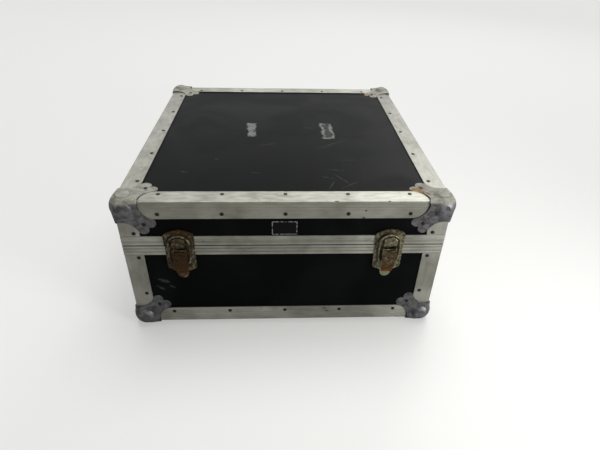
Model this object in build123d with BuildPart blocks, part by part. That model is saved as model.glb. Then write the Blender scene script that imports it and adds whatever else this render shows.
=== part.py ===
"""Flight-style case for guitar effect pedals.

Plywood boards are edged with riveted aluminium angle. Steel ball corners cover every vertex,
a tongue rim on the base closes into a groove rim on the lid, two draw latches hold the front
and two stop hinges carry the lid at the back. Millimetres, +Z up, +Y to the back. The origin
is on the floor, below the middle of the case.
"""

from build123d import *
import os
from math import asin, atan2, degrees, sqrt

os.makedirs("parts", exist_ok=True)

# Case, measured over the aluminium angle
case_width = 500.0
case_depth = 520.0
base_height = 161.0
lid_height = 79.0
seam_gap = 0.4

# Boards and edging
board = 9.0
board_tip_chamfer = 3.0
angle_leg = 30.0
angle_wall = 1.5
angle_outer_radius = 1.0

# Closing rims
rim_height = 17.3
rim_wall = 1.5
rim_inner_leg = 14.0
tongue_height = 5.0
tongue_play = 0.6
tongue_taper = 0.6
groove_play = 1.0
seam_chamfer = 0.7
flute_radius = 0.7
flute_count = 2
edge_flute_radius = 0.5
edge_flute_pitch = 5.0
edge_flute_count = 3
post_play = 0.6

# Ball corners, in distances from the vertex that they cover
corner_rise = 5.2
corner_slope = 0.0645
corner_sheet = 1.5
corner_edge_radius = 5.0
ball_centre = 18.0
ball_radius = 28.6
lobe_long = 49.0
lobe_short = 37.5
lobe_radius = 8.6
window_radius = 24.5
window_offset = 6.0
corner_tip_trim = 9.0
crown_centre = 12.5
crown_radius = 21.2
crown_rise = 7.0

# Rivets
rivet_radius = 3.2
rivet_head = 1.0
rivet_head_taper = 25.0
rivet_inset = 21.6
rivet_row_inset = 61.5
rivet_row_count = 5
post_rivet_gap = 5.5
post_rivet_low = 97.5
corner_rivet_inset = 39.5

# Draw latches
latch_inset = 87.0
latch_sheet = 1.6
keeper_half_width = 23.3
keeper_shoulder = 20.5
keeper_top = 29.2
latch_plate_half_width = 22.4
latch_plate_drop = 42.4
latch_plate_corner = 3.0
latch_tab_radius = 8.5
latch_tab_neck = 49.5
latch_tab_drop = 54.0
latch_seam_margin = 1.0
lever_pivot_drop = 5.0
lever_pivot_rise = 6.6
lever_face_rise = 4.0
lever_flange_radius = 3.2
lever_half_width = 11.25
lever_sheet = 1.2
lever_waist_drop = 35.5
lever_waist_rise = 8.2
lever_lip_drop = 46.5
lever_lip_rise = 9.4
lever_lip_half_width = 7.5
ear_radius = 2.4
ear_sheet = 1.5
ear_play = 0.3
latch_pin_radius = 1.5
pin_play = 0.05
loop_end_drop = 29.0
loop_end_reach = 1.5
loop_rise = 5.4
loop_wire_radius = 1.8
loop_half_width = 15.9
loop_shoulder_drop = 19.5
loop_arch_height = 5.3
loop_end_bend = 2.4
loop_shoulder_bend = 8.0
loop_play = 0.3
lever_eye_radius = 3.2
hook_half_width = 10.0
hook_bottom = 4.0
hook_lip_sheet = 2.3
hook_lip = 0.6
hook_play = 0.7
hook_round = 2.0

# Stop hinges
hinge_inset = 100.0
hinge_length = 70.0
hinge_leaf = 42.0
hinge_sheet = 2.0
hinge_knuckle_radius = 4.5
hinge_knuckle_play = 0.5
hinge_knuckles = 5
hinge_knuckle_gap = 0.4
hinge_pin_radius = 2.2
hinge_stop_angle = 105.0
hinge_stop_reach = 8.5
hinge_stop_play = 0.05

# Side handles
handle_length = 130.0
handle_height = 62.0
handle_sheet = 2.0
handle_corner = 12.0
handle_pivot_spread = 50.0
handle_pivot_rise = 18.0
handle_drop = 46.0
handle_rod_radius = 4.0
handle_bend_radius = 10.0
handle_stub_bend = 4.2
handle_ear = 5.0
handle_ear_wall = 3.0
handle_ear_play = 0.3
grip_radius = 8.5
grip_end_radius = 10.0
grip_length = 70.0
grip_play = 0.6

# Name plate on the lid, left blank
plate_width = 38.5
plate_height = 24.0
plate_sheet = 0.6
plate_corner = 1.5
plate_drop = 47.5
plate_offset = -1.3
plate_frame = 1.2
plate_frame_rise = 0.3

# Foam
foam_play = 0.3
lining_wall = 12.0
lining_floor = 15.0
lid_pad_thickness = 20.0

# Levels and reaches that follow from the sizes above
floor_level = crown_rise
base_top = floor_level + base_height
lid_bottom = base_top + seam_gap
lid_top = lid_bottom + lid_height
half_width = case_width / 2
half_depth = case_depth / 2
latch_spread = half_width - latch_inset
hinge_spread = half_width - hinge_inset
board_inner = angle_wall + board
rim_inner = board_inner + rim_wall
hinge_axis_out = hinge_knuckle_radius + hinge_knuckle_play
handle_reach = handle_sheet + grip_end_radius + grip_play
handle_level = floor_level + (angle_leg + base_height - rim_height) / 2

FRONT, RIGHT, BACK, LEFT = "front", "right", "back", "left"
SIDES = {
    FRONT: (Vector(0, -1, 0), Vector(1, 0, 0), half_depth, half_width),
    RIGHT: (Vector(1, 0, 0), Vector(0, 1, 0), half_width, half_depth),
    BACK: (Vector(0, 1, 0), Vector(-1, 0, 0), half_depth, half_width),
    LEFT: (Vector(-1, 0, 0), Vector(0, -1, 0), half_width, half_depth),
}
UP = Vector(0, 0, 1)
CORNERS = {
    "front_left": (-1, -1),
    "front_right": (1, -1),
    "back_left": (-1, 1),
    "back_right": (1, 1),
}
HANDS = {"left": -1, "right": 1}
LOW = (Align.MIN, Align.MIN, Align.MIN)
STAND = (Align.CENTER, Align.CENTER, Align.MIN)


def save(piece, name):
    """Label a finished piece and write it as its own STEP file."""
    piece.part.label = name
    export_step(piece.part, f"parts/{name}.step")


def section_plane(side, level):
    """Plane across an edge of the case: X runs inward, Y up, Z along the side."""
    outward, along, reach, _ = SIDES[side]
    return Plane(origin=outward * reach + UP * level, x_dir=-outward, z_dir=along)


def face_plane(side, level, depth=0.0):
    """Plane on a side of the case: X runs along it, Y up, Z outward."""
    outward, along, reach, _ = SIDES[side]
    return Plane(origin=outward * (reach + depth) + UP * level, x_dir=along, z_dir=outward)


def mitre(side, level):
    """Cut both ends of the bar being built at 45 degrees, where it meets its neighbours."""
    outward, along, reach, half_length = SIDES[side]
    for end in (-1, 1):
        vertex = outward * reach + along * (half_length * end) + UP * level
        split(bisect_by=Plane(origin=vertex, z_dir=along * end - outward), keep=Keep.BOTTOM)


# ---------------------------------------------------------------- boards


def flat_board(name, low):
    """Bottom or top board, with its upright edges chamfered inside the ball corners."""
    with BuildPart(Plane.XY.offset(low)) as panel:
        Box(case_width - 2 * angle_wall, case_depth - 2 * angle_wall, board, align=STAND)
        chamfer(panel.edges().filter_by(Axis.Z), board_tip_chamfer)
    save(panel, name)


def wall_board(name, side, low, high):
    """Side board. Front and back run the full width, and the others fit between them."""
    _, _, _, half_length = SIDES[side]
    end = angle_wall if side in (FRONT, BACK) else board_inner
    with BuildPart() as panel:
        with BuildSketch(face_plane(side, low, -angle_wall)):
            Rectangle(2 * (half_length - end), high - low, align=(Align.CENTER, Align.MIN))
        extrude(amount=-board)
    save(panel, name)


# ---------------------------------------------------------------- aluminium


def edge_angle(name, side, level, rise):
    """Aluminium angle along one edge, mitred, with its tips trimmed for the ball corners."""
    outward, along, reach, half_length = SIDES[side]
    with BuildPart() as bar:
        with BuildSketch(section_plane(side, level)) as profile:
            Rectangle(angle_leg, angle_wall, align=(Align.MIN, Align.MIN))
            Rectangle(angle_wall, angle_leg, align=(Align.MIN, Align.MIN))
            outer = profile.vertices().sort_by_distance((0, 0, 0))[0]
            fillet(outer, angle_outer_radius)
            with Locations([(0, edge_flute_pitch * (n + 1)) for n in range(edge_flute_count)]):
                Circle(edge_flute_radius, mode=Mode.SUBTRACT)
            if rise < 0:
                mirror(about=Plane.XZ, mode=Mode.REPLACE)
        extrude(amount=half_length, both=True)
        mitre(side, level)
        for end in (-1, 1):
            vertex = outward * reach + along * (half_length * end) + UP * level
            tip = vertex - outward * corner_tip_trim
            split(
                bisect_by=Plane(origin=tip, z_dir=outward + along * end - UP * rise),
                keep=Keep.BOTTOM,
            )
    save(bar, name)


def corner_posts(name, low, high):
    """Four upright angles, one at each corner of the box."""
    with BuildPart() as posts:
        with BuildSketch(Plane.XY.offset(low)) as profile:
            with Locations((-half_width, -half_depth)):
                Rectangle(angle_leg, angle_wall, align=(Align.MIN, Align.MIN))
                Rectangle(angle_wall, angle_leg, align=(Align.MIN, Align.MIN))
            outer = profile.vertices().sort_by_distance((-half_width, -half_depth, 0))[0]
            fillet(outer, angle_outer_radius)
            mirror(about=Plane.YZ)
            mirror(about=Plane.XZ)
        extrude(amount=high - low)
    save(posts, name)


def cut_flutes(rise):
    """Run shallow round flutes along the outer face of the rim profile being drawn."""
    step = rim_height / (flute_count + 1)
    with Locations([(0, rise * step * (n + 1)) for n in range(flute_count)]):
        Circle(flute_radius, mode=Mode.SUBTRACT)


def tongue_rim(name, side):
    """Base rim: a channel over the board's upper edge, with a hollow tongue standing on it."""
    root = rim_wall + tongue_play
    far = board_inner - tongue_play
    with BuildPart() as rim:
        with BuildSketch(section_plane(side, base_top)):
            with BuildLine():
                Polyline(
                    (0, -seam_chamfer),
                    (seam_chamfer, 0),
                    (root, 0),
                    (root + tongue_taper, tongue_height),
                    (far - tongue_taper, tongue_height),
                    (far, 0),
                    (rim_inner, 0),
                    (rim_inner, -rim_inner_leg),
                    (board_inner, -rim_inner_leg),
                    (board_inner, -rim_wall),
                    (far - rim_wall, -rim_wall),
                    (far - rim_wall - tongue_taper, tongue_height - rim_wall),
                    (root + rim_wall + tongue_taper, tongue_height - rim_wall),
                    (root + rim_wall, -rim_wall),
                    (angle_wall, -rim_wall),
                    (angle_wall, -rim_height),
                    (0, -rim_height),
                    close=True,
                )
            make_face()
            cut_flutes(-1)
        extrude(amount=SIDES[side][3], both=True)
        mitre(side, base_top)
    save(rim, name)


def groove_rim(name, side):
    """Lid rim: the same channel turned over, with a groove that takes the tongue."""
    web = tongue_height + groove_play
    with BuildPart() as rim:
        with BuildSketch(section_plane(side, lid_bottom)):
            Polygon(
                (0, seam_chamfer),
                (seam_chamfer, 0),
                (angle_wall, 0),
                (angle_wall, rim_height),
                (0, rim_height),
                align=None,
            )
            with Locations((0, web)):
                Rectangle(rim_inner, rim_wall, align=(Align.MIN, Align.MIN))
            with Locations((board_inner, 0)):
                Rectangle(rim_wall, rim_inner_leg, align=(Align.MIN, Align.MIN))
            cut_flutes(1)
        extrude(amount=SIDES[side][3], both=True)
        mitre(side, lid_bottom)
    save(rim, name)


# ---------------------------------------------------------------- ball corners


def corner_form(inset):
    """Solid that the pressed corner wraps: three sloping faces with a ball standing out of them."""
    span = lobe_long + 3 * lobe_radius
    face_level = inset - corner_rise
    slopes = (
        ((0, 0, face_level), (corner_slope, corner_slope, -1)),
        ((face_level, 0, 0), (-1, corner_slope, corner_slope)),
        ((0, face_level, 0), (corner_slope, -1, corner_slope)),
    )
    with BuildPart() as ball_waste:
        with Locations((-2 * corner_rise,) * 3):
            Box(*(ball_centre + 2 * corner_rise,) * 3, align=LOW)
        with Locations((ball_centre,) * 3):
            Sphere(ball_radius - inset, mode=Mode.SUBTRACT)
    with BuildPart() as form:
        with Locations((-2 * corner_rise,) * 3):
            Box(span, span, span, align=LOW)
        for origin, outward in slopes:
            split(bisect_by=Plane(origin=origin, z_dir=outward), keep=Keep.BOTTOM)
        vertex = (face_level / (1 - 2 * corner_slope),) * 3
        folds = form.edges().sort_by_distance(vertex)[:3]
        fillet(folds, corner_edge_radius - inset)
        add(ball_waste.part, mode=Mode.SUBTRACT)
        with Locations((crown_centre,) * 3):
            Sphere(crown_radius - inset)
        for outward in (Vector(-1, 0, 0), Vector(0, -1, 0), Vector(0, 0, -1)):
            crown = outward * (crown_rise - inset)
            split(bisect_by=Plane(origin=crown, z_dir=outward), keep=Keep.BOTTOM)
    return form.part


def flange_outline(margin):
    """Two-lobed flange as seen square to one face, with its vertex at the origin."""
    join = lobe_radius + window_radius
    window_centre = lobe_long + sqrt(join**2 - (lobe_short - window_offset) ** 2)
    window_start = 180 + degrees(asin((window_offset + margin) / window_radius))
    to_lobe = degrees(atan2(lobe_short - window_offset, lobe_long - window_centre))
    half_gap = sqrt(lobe_radius**2 - ((lobe_long - lobe_short) / sqrt(2)) ** 2)
    notch = (lobe_long + lobe_short) / 2 + half_gap / sqrt(2)
    to_notch = degrees(atan2(notch - lobe_short, notch - lobe_long))
    with BuildSketch() as outline:
        with BuildLine():
            window = CenterArc(
                (window_centre, window_offset), window_radius, window_start, to_lobe - window_start
            )
            CenterArc((lobe_long, lobe_short), lobe_radius, to_lobe - 180, to_notch - to_lobe + 180)
            Line((-margin, -margin), window @ 0)
            mirror(about=Plane(origin=(0, 0, 0), z_dir=(1, -1, 0)))
        make_face()
    return outline.sketch


def ball_corner_form():
    """Pressed steel corner for the vertex at the origin, with the case towards +X, +Y and +Z."""
    margin = corner_rise * 2
    span = lobe_long + 3 * lobe_radius
    outline = flange_outline(margin)
    with BuildPart() as flanges:
        for plane in (Plane.XY, Plane.YZ, Plane.ZX):
            with BuildSketch(plane.offset(-margin)):
                add(outline)
            extrude(amount=margin + angle_wall)
    with BuildPart() as covered:
        Box(span, span, span, align=LOW)
        for plane in (Plane.XY, Plane.YZ, Plane.ZX):
            with BuildSketch(plane):
                with Locations((angle_leg, angle_leg)):
                    Rectangle(span, span, align=(Align.MIN, Align.MIN))
            extrude(amount=angle_wall, mode=Mode.SUBTRACT)
        tip = (corner_tip_trim, 0, 0)
        split(bisect_by=Plane(origin=tip, z_dir=(-1, -1, -1)), keep=Keep.BOTTOM)
    with BuildPart() as shell:
        add(corner_form(0))
        add(flanges.part, mode=Mode.INTERSECT)
        add(corner_form(corner_sheet), mode=Mode.SUBTRACT)
        add(covered.part, mode=Mode.SUBTRACT)
    return shell.part


def place_ball_corner(name, form, corner, level, rise):
    """Set one ball corner on its vertex. The form is symmetric, so a rotation fits them all."""
    sx, sy = CORNERS[corner]
    first = (-sx, 0, 0) if rise * sx == sy else (0, -sy, 0)
    vertex = Plane(origin=(sx * half_width, sy * half_depth, level), x_dir=first, z_dir=UP * rise)
    with BuildPart() as ball_corner:
        with Locations(vertex.location):
            add(form)
    save(ball_corner, name)


# ---------------------------------------------------------------- rivets


def rivet_row(half_length):
    """Places along one edge, spread evenly between its two ball corners."""
    end = half_length - rivet_row_inset
    return [end * (2 * n / (rivet_row_count - 1) - 1) for n in range(rivet_row_count)]


def rivet_heads(plane, places):
    """Add a low conical head at each place on the plane, standing outward from it."""
    with BuildSketch(plane) as heads:
        with Locations(places):
            Circle(rivet_radius)
    extrude(heads.sketch, amount=rivet_head, taper=rivet_head_taper)


def ball_corner_rivet(vertex, along, across, outward):
    """One head square on a sloping flange, which runs from the vertex along both directions."""
    height = corner_rise - 2 * corner_slope * corner_rivet_inset
    origin = vertex + (along + across) * corner_rivet_inset + outward * height
    square = outward + (along + across) * corner_slope
    rivet_heads(Plane(origin=origin, z_dir=square), [(0, 0)])


def side_rivets(side, level, rise, post_heights):
    """Heads on one side of the base or lid: its edge row, its posts and its ball corners."""
    outward, along, reach, half_length = SIDES[side]
    row = [(x, rise * rivet_inset) for x in rivet_row(half_length)]
    post = half_length - rivet_inset
    uprights = [(end * post, rise * y) for end in (-1, 1) for y in post_heights]
    rivet_heads(face_plane(side, level), row + uprights)
    for end in (-1, 1):
        vertex = outward * reach + along * (end * half_length) + UP * level
        ball_corner_rivet(vertex, along * -end, UP * rise, outward)


def flat_rivets(level, rise):
    """Heads on the bottom of the base or the top of the lid."""
    across = half_width - rivet_inset
    deep = half_depth - rivet_inset
    rows = [(x, end * deep) for x in rivet_row(half_width) for end in (-1, 1)]
    rows += [(end * across, y) for y in rivet_row(half_depth) for end in (-1, 1)]
    outward = Plane(origin=(0, 0, level), x_dir=(1, 0, 0), z_dir=UP * -rise)
    rivet_heads(outward, rows)
    for sx, sy in CORNERS.values():
        vertex = Vector(sx * half_width, sy * half_depth, level)
        ball_corner_rivet(vertex, Vector(-sx, 0, 0), Vector(0, -sy, 0), UP * -rise)


def rivet_group(name, level, rise, post_heights):
    """All the rivet heads of the base or of the lid."""
    with BuildPart() as heads:
        for side in SIDES:
            side_rivets(side, level, rise, post_heights)
        flat_rivets(level, rise)
    save(heads, name)


# ---------------------------------------------------------------- latches


def latch_front(hand, depth=0.0):
    """Plane on the front of a latch's place: X to the right, Y up from the seam, Z outward."""
    origin = (HANDS[hand] * latch_spread, -half_depth - depth, base_top)
    return Plane(origin=origin, x_dir=(1, 0, 0), z_dir=(0, -1, 0))


def latch_side(hand):
    """Plane through the middle of a latch: X outward, Y up from the seam, Z to the left."""
    origin = (HANDS[hand] * latch_spread, -half_depth, base_top)
    return Plane(origin=origin, x_dir=(0, -1, 0), z_dir=(-1, 0, 0))


def keeper_outline():
    """Keeper plate: straight sides and a bowed top."""
    with BuildSketch() as outline:
        with BuildLine():
            right = Line((keeper_half_width, latch_seam_margin), (keeper_half_width, keeper_shoulder))
            bow = ThreePointArc(right @ 1, (0, keeper_top), (-keeper_half_width, keeper_shoulder))
            Polyline(bow @ 1, (-keeper_half_width, latch_seam_margin), right @ 0)
        make_face()
    return outline.sketch


def latch_plate_outline():
    """Base plate: its lower edge slopes from both sides to a round tab below the middle."""
    left, right = -latch_plate_half_width, latch_plate_half_width
    with BuildSketch() as outline:
        with BuildLine():
            Polyline(
                (left, -latch_seam_margin),
                (left, -latch_plate_drop),
                (-latch_tab_radius, -latch_tab_neck),
                (latch_tab_radius, -latch_tab_neck),
                (right, -latch_plate_drop),
                (right, -latch_seam_margin),
                close=True,
            )
        make_face()
        fillet(outline.vertices().group_by(Axis.Y)[1], latch_plate_corner)
        with Locations((0, -latch_tab_drop)):
            Circle(latch_tab_radius)
            Rectangle(2 * latch_tab_radius, latch_tab_drop - latch_tab_neck,
                      align=(Align.CENTER, Align.MIN))
    return outline.sketch


def pressed_plate(hand, outline, rim_low, rim_high):
    """Plate over the rim, with its edge turned back to the board where the rim ends."""
    with BuildSketch(latch_front(hand)) as plate:
        add(outline)
    extrude(plate.sketch, amount=latch_sheet)
    with BuildSketch(latch_front(hand, -angle_wall)) as skirt:
        add(outline)
        offset(outline, amount=-angle_wall, mode=Mode.SUBTRACT)
    extrude(skirt.sketch, amount=angle_wall)
    with BuildSketch(latch_front(hand, -angle_wall)) as over_rim:
        with Locations((0, (rim_low + rim_high) / 2)):
            Rectangle(4 * keeper_half_width, rim_high - rim_low)
    extrude(over_rim.sketch, amount=angle_wall, mode=Mode.SUBTRACT)


def latch_keeper(hand):
    """Keeper plate on the lid, with the domed hook that the loop pulls on."""
    seat = loop_half_width - loop_wire_radius - hook_play
    lip_rise = loop_rise + loop_wire_radius + loop_play
    with BuildPart() as hook:
        with BuildSketch(latch_front(hand, latch_sheet)):
            with Locations((0, loop_arch_height)):
                Circle(seat)
        extrude(amount=lip_rise - latch_sheet)
        with BuildSketch(latch_front(hand, lip_rise)):
            with Locations((0, loop_arch_height)):
                Circle(seat + hook_lip)
        extrude(amount=hook_lip_sheet)
        fillet(hook.faces().sort_by(Axis.Y)[0].edges(), hook_round)
        with BuildSketch(latch_front(hand)):
            with Locations((0, hook_bottom)):
                Rectangle(2 * hook_half_width, 2 * seat, align=(Align.CENTER, Align.MIN))
        extrude(amount=2 * lip_rise, mode=Mode.INTERSECT)
    with BuildPart() as keeper:
        pressed_plate(hand, keeper_outline(), seam_gap, seam_gap + rim_height)
        add(hook.part)
    save(keeper, f"latch_{hand}_keeper")


def latch_bore(hand, rise, drop, radius):
    """Cut one cross hole right through the latch part being built."""
    with BuildSketch(latch_side(hand)) as bore:
        with Locations((rise, -drop)):
            Circle(radius)
    extrude(bore.sketch, amount=2 * lever_half_width, both=True, mode=Mode.SUBTRACT)


def latch_base_plate(hand):
    """Base plate with the two ears that carry the lever's pivot pin."""
    ear_outer = lever_half_width - lever_sheet - ear_play
    neck = lever_pivot_rise - latch_sheet / 2
    with BuildPart() as ears:
        with BuildSketch(latch_side(hand)):
            with Locations((lever_pivot_rise, -lever_pivot_drop)):
                Circle(ear_radius)
                Rectangle(neck, 2 * ear_radius, align=(Align.MAX, Align.CENTER))
        extrude(amount=ear_outer, both=True)
        with BuildSketch(latch_side(hand)):
            with Locations((lever_pivot_rise, -lever_pivot_drop)):
                Rectangle(2 * neck, 2 * neck)
        extrude(amount=ear_outer - ear_sheet, both=True, mode=Mode.SUBTRACT)
    with BuildPart() as plate:
        pressed_plate(hand, latch_plate_outline(), -rim_height, 0)
        add(ears.part)
        latch_bore(hand, lever_pivot_rise, lever_pivot_drop, latch_pin_radius)
    save(plate, f"latch_{hand}_base_plate")


def latch_pivot_pins():
    """A pin through the ears of each latch, on which its lever turns."""
    with BuildPart() as pins:
        for hand in HANDS:
            with BuildSketch(latch_side(hand)):
                with Locations((lever_pivot_rise, -lever_pivot_drop)):
                    Circle(latch_pin_radius)
            extrude(amount=lever_half_width, both=True)
    save(pins, "latch_pivot_pins")


def latch_lever(hand):
    """Folded sheet lever: a face between two flanges, ending in a finger lip."""
    pivot = (lever_pivot_rise, -lever_pivot_drop)
    eye = (loop_rise, -loop_end_drop)
    crown = (lever_pivot_rise + lever_face_rise, -lever_pivot_drop)
    waist = (lever_waist_rise, -lever_waist_drop)
    lip = (lever_lip_rise, -lever_lip_drop)
    with BuildPart() as lever:
        with BuildSketch(latch_side(hand)):
            with Locations(pivot):
                Circle(lever_flange_radius)
            with Locations(eye):
                Circle(lever_eye_radius)
            with BuildLine():
                Polyline(
                    (pivot[0], pivot[1] + lever_flange_radius),
                    crown,
                    waist,
                    (eye[0], eye[1] - lever_eye_radius),
                    (eye[0] - lever_eye_radius, eye[1]),
                    (pivot[0] - lever_flange_radius, pivot[1]),
                    close=True,
                )
            make_face()
        extrude(amount=lever_half_width, both=True)
        with BuildSketch(latch_side(hand)):
            Rectangle(4 * lever_pivot_rise, 4 * lever_lip_drop)
        extrude(amount=lever_half_width - lever_sheet, both=True, mode=Mode.SUBTRACT)
        with BuildSketch(latch_side(hand)):
            with BuildLine():
                face = Line(crown, waist)
                TangentArc(face @ 1, lip, tangent=face % 1)
            trace(line_width=lever_sheet)
        extrude(amount=lever_half_width, both=True)
        with BuildSketch(latch_front(hand)) as front:
            with BuildLine():
                Polyline(
                    (lever_half_width, lever_sheet),
                    (lever_half_width, -lever_waist_drop),
                    (lever_lip_half_width, -lever_lip_drop - lever_sheet),
                    (-lever_lip_half_width, -lever_lip_drop - lever_sheet),
                    (-lever_half_width, -lever_waist_drop),
                    (-lever_half_width, lever_sheet),
                    close=True,
                )
            make_face()
            fillet(front.vertices().group_by(Axis.Y)[0], lever_lip_half_width / 2)
        extrude(amount=4 * lever_pivot_rise, mode=Mode.INTERSECT)
        latch_bore(hand, lever_pivot_rise, lever_pivot_drop, latch_pin_radius + pin_play)
        latch_bore(hand, loop_rise, loop_end_drop, loop_wire_radius + pin_play)
    save(lever, f"latch_{hand}_lever")


def latch_loop(hand):
    """Wire loop: an arch over the hook, its ends turned in through the lever's flanges."""
    inside = lever_half_width - lever_sheet - loop_end_reach
    foot = lever_half_width + loop_play + loop_wire_radius
    right = [
        (inside, -loop_end_drop),
        (foot, -loop_end_drop),
        (loop_half_width, -loop_shoulder_drop),
        (loop_half_width, loop_arch_height),
    ]
    left = [(-x, y) for x, y in reversed(right)]
    bends = [loop_end_bend, loop_shoulder_bend]
    with BuildPart() as loop:
        with BuildLine(latch_front(hand, loop_rise)) as path:
            FilletPolyline(*right, radius=bends)
            CenterArc((0, loop_arch_height), loop_half_width, 0, 180)
            FilletPolyline(*left, radius=bends[::-1])
        wire = path.wires()[0]
        with BuildSketch(Plane(origin=wire @ 0, z_dir=wire % 0)):
            Circle(loop_wire_radius)
        sweep(path=wire)
    save(loop, f"latch_{hand}_loop")


# ---------------------------------------------------------------- hinges


def hinge_section(x):
    """Plane across a hinge: X runs out of the back, Y up from the seam, Z along the pin."""
    origin = (x, half_depth, base_top + seam_gap / 2)
    return Plane(origin=origin, x_dir=(0, 1, 0), z_dir=(1, 0, 0))


def knuckle_span(x, n):
    """Plane at the start of one knuckle, and the knuckle's length."""
    pitch = hinge_length / hinge_knuckles
    start = x - hinge_length / 2 + n * pitch + hinge_knuckle_gap / 2
    return hinge_section(start), pitch - hinge_knuckle_gap


def hinge_leaves(name, rise, first_knuckle, bore, with_stop):
    """Both leaves on one side of the seam, joggled from the rim down to the board."""
    rim_end = rim_height + seam_gap / 2 + hinge_sheet / 2
    clear = hinge_knuckle_radius + hinge_knuckle_play
    middle = hinge_sheet / 2
    with BuildPart() as leaves:
        for x in (-hinge_spread, hinge_spread):
            with BuildSketch(hinge_section(x)):
                with BuildLine():
                    Polyline(
                        (middle, rise * clear),
                        (middle, rise * rim_end),
                        (middle - angle_wall, rise * (rim_end + angle_wall)),
                        (middle - angle_wall, rise * hinge_leaf),
                    )
                trace(line_width=hinge_sheet)
            extrude(amount=hinge_length / 2, both=True)
            for n in range(first_knuckle, hinge_knuckles, 2):
                start, length = knuckle_span(x, n)
                with BuildSketch(start):
                    with Locations((hinge_axis_out, 0)):
                        Circle(hinge_knuckle_radius)
                    with Locations((middle, rise * clear / 2)):
                        Rectangle(hinge_sheet, clear)
                    if with_stop:
                        stop_lug()
                    with Locations((hinge_axis_out, 0)):
                        Circle(hinge_pin_radius + bore, mode=Mode.SUBTRACT)
                extrude(amount=length)
    save(leaves, name)


def stop_lug():
    """Lug that meets the base leaf at the stop angle, drawn there and turned back to closed."""
    face = hinge_sheet + hinge_stop_play - hinge_axis_out
    root = -hinge_knuckle_radius / 2
    with Locations(Location((hinge_axis_out, 0, 0), (0, 0, hinge_stop_angle))):
        Polygon(
            (face, -hinge_stop_reach),
            (face, root),
            (-root, root),
            (0, -hinge_stop_reach),
            align=None,
        )


def hinge_pins():
    """One pin through each hinge."""
    with BuildPart() as pins:
        for x in (-hinge_spread, hinge_spread):
            with BuildSketch(hinge_section(x)):
                with Locations((hinge_axis_out, 0)):
                    Circle(hinge_pin_radius)
            extrude(amount=hinge_length / 2, both=True)
    save(pins, "hinge_pins")


# ---------------------------------------------------------------- handles


def handle_face(hand, depth=0.0):
    """Plane on the side board at a handle: X along the case, Y up, Z outward."""
    side = RIGHT if HANDS[hand] > 0 else LEFT
    return face_plane(side, handle_level, depth - angle_wall)


def handle_section(hand, along):
    """Plane across a handle at a distance along the case: X outward, Y up."""
    face = handle_face(hand)
    return Plane(origin=face.from_local_coords((along, 0, 0)), x_dir=face.z_dir, z_dir=-face.x_dir)


def handle_plate(hand):
    """Plate on the side board, with an ear at each end for the bail's stubs."""
    eye = handle_rod_radius + handle_ear_wall
    with BuildPart() as plate:
        with BuildSketch(handle_face(hand)):
            RectangleRounded(handle_length, handle_height, handle_corner)
        extrude(amount=handle_sheet)
        for end in (-1, 1):
            inner = end * handle_pivot_spread
            with BuildSketch(handle_section(hand, inner)):
                with Locations((handle_reach, handle_pivot_rise)):
                    Circle(eye)
                    Rectangle(handle_reach - handle_sheet / 2, 2 * eye,
                              align=(Align.MAX, Align.CENTER))
                    Circle(handle_rod_radius + pin_play, mode=Mode.SUBTRACT)
            extrude(amount=-end * handle_ear)
    save(plate, f"handle_{hand}_plate")


def handle_bail(hand):
    """Steel rod bent to a U, its ends turned out into the ears."""
    leg = handle_pivot_spread - handle_ear_play - handle_rod_radius
    stub = handle_pivot_spread + handle_ear
    foot = handle_pivot_rise - handle_drop
    with BuildPart() as bail:
        with BuildLine(handle_face(hand, handle_reach)) as path:
            FilletPolyline(
                (-stub, handle_pivot_rise),
                (-leg, handle_pivot_rise),
                (-leg, foot),
                (leg, foot),
                (leg, handle_pivot_rise),
                (stub, handle_pivot_rise),
                radius=[handle_stub_bend, handle_bend_radius, handle_bend_radius, handle_stub_bend],
            )
        wire = path.wires()[0]
        with BuildSketch(Plane(origin=wire @ 0, z_dir=wire % 0)):
            Circle(handle_rod_radius)
        sweep(path=wire)
    save(bail, f"handle_{hand}_bail")


def handle_grip(hand):
    """Moulded sleeve on the bail's bar, waisted between its end collars."""
    half = grip_length / 2
    foot = handle_pivot_rise - handle_drop
    bar = handle_face(hand, handle_reach)
    axis_plane = Plane(
        origin=bar.from_local_coords((0, foot, 0)), x_dir=bar.x_dir, z_dir=bar.z_dir
    )
    with BuildPart() as grip:
        with BuildSketch(axis_plane):
            with BuildLine():
                crown = ThreePointArc(
                    (-half, grip_end_radius), (0, grip_radius), (half, grip_end_radius)
                )
                Polyline(crown @ 1, (half, handle_rod_radius), (-half, handle_rod_radius), crown @ 0)
            make_face()
        revolve(axis=Axis(axis_plane.origin, axis_plane.x_dir))
    save(grip, f"handle_{hand}_grip")


# ---------------------------------------------------------------- name plate


def name_plate():
    """Blank plate with a raised frame, on the front of the lid between the angle and the rim."""
    with BuildPart() as plate:
        with BuildSketch(face_plane(FRONT, lid_top - plate_drop, -angle_wall)):
            with Locations((plate_offset, 0)):
                RectangleRounded(plate_width, plate_height, plate_corner)
        extrude(amount=plate_sheet + plate_frame_rise)
        with BuildSketch(face_plane(FRONT, lid_top - plate_drop, plate_sheet - angle_wall)):
            with Locations((plate_offset, 0)):
                Rectangle(plate_width - 2 * plate_frame, plate_height - 2 * plate_frame)
        extrude(amount=plate_frame_rise, mode=Mode.SUBTRACT)
    save(plate, "name_plate")


# ---------------------------------------------------------------- foam


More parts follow.
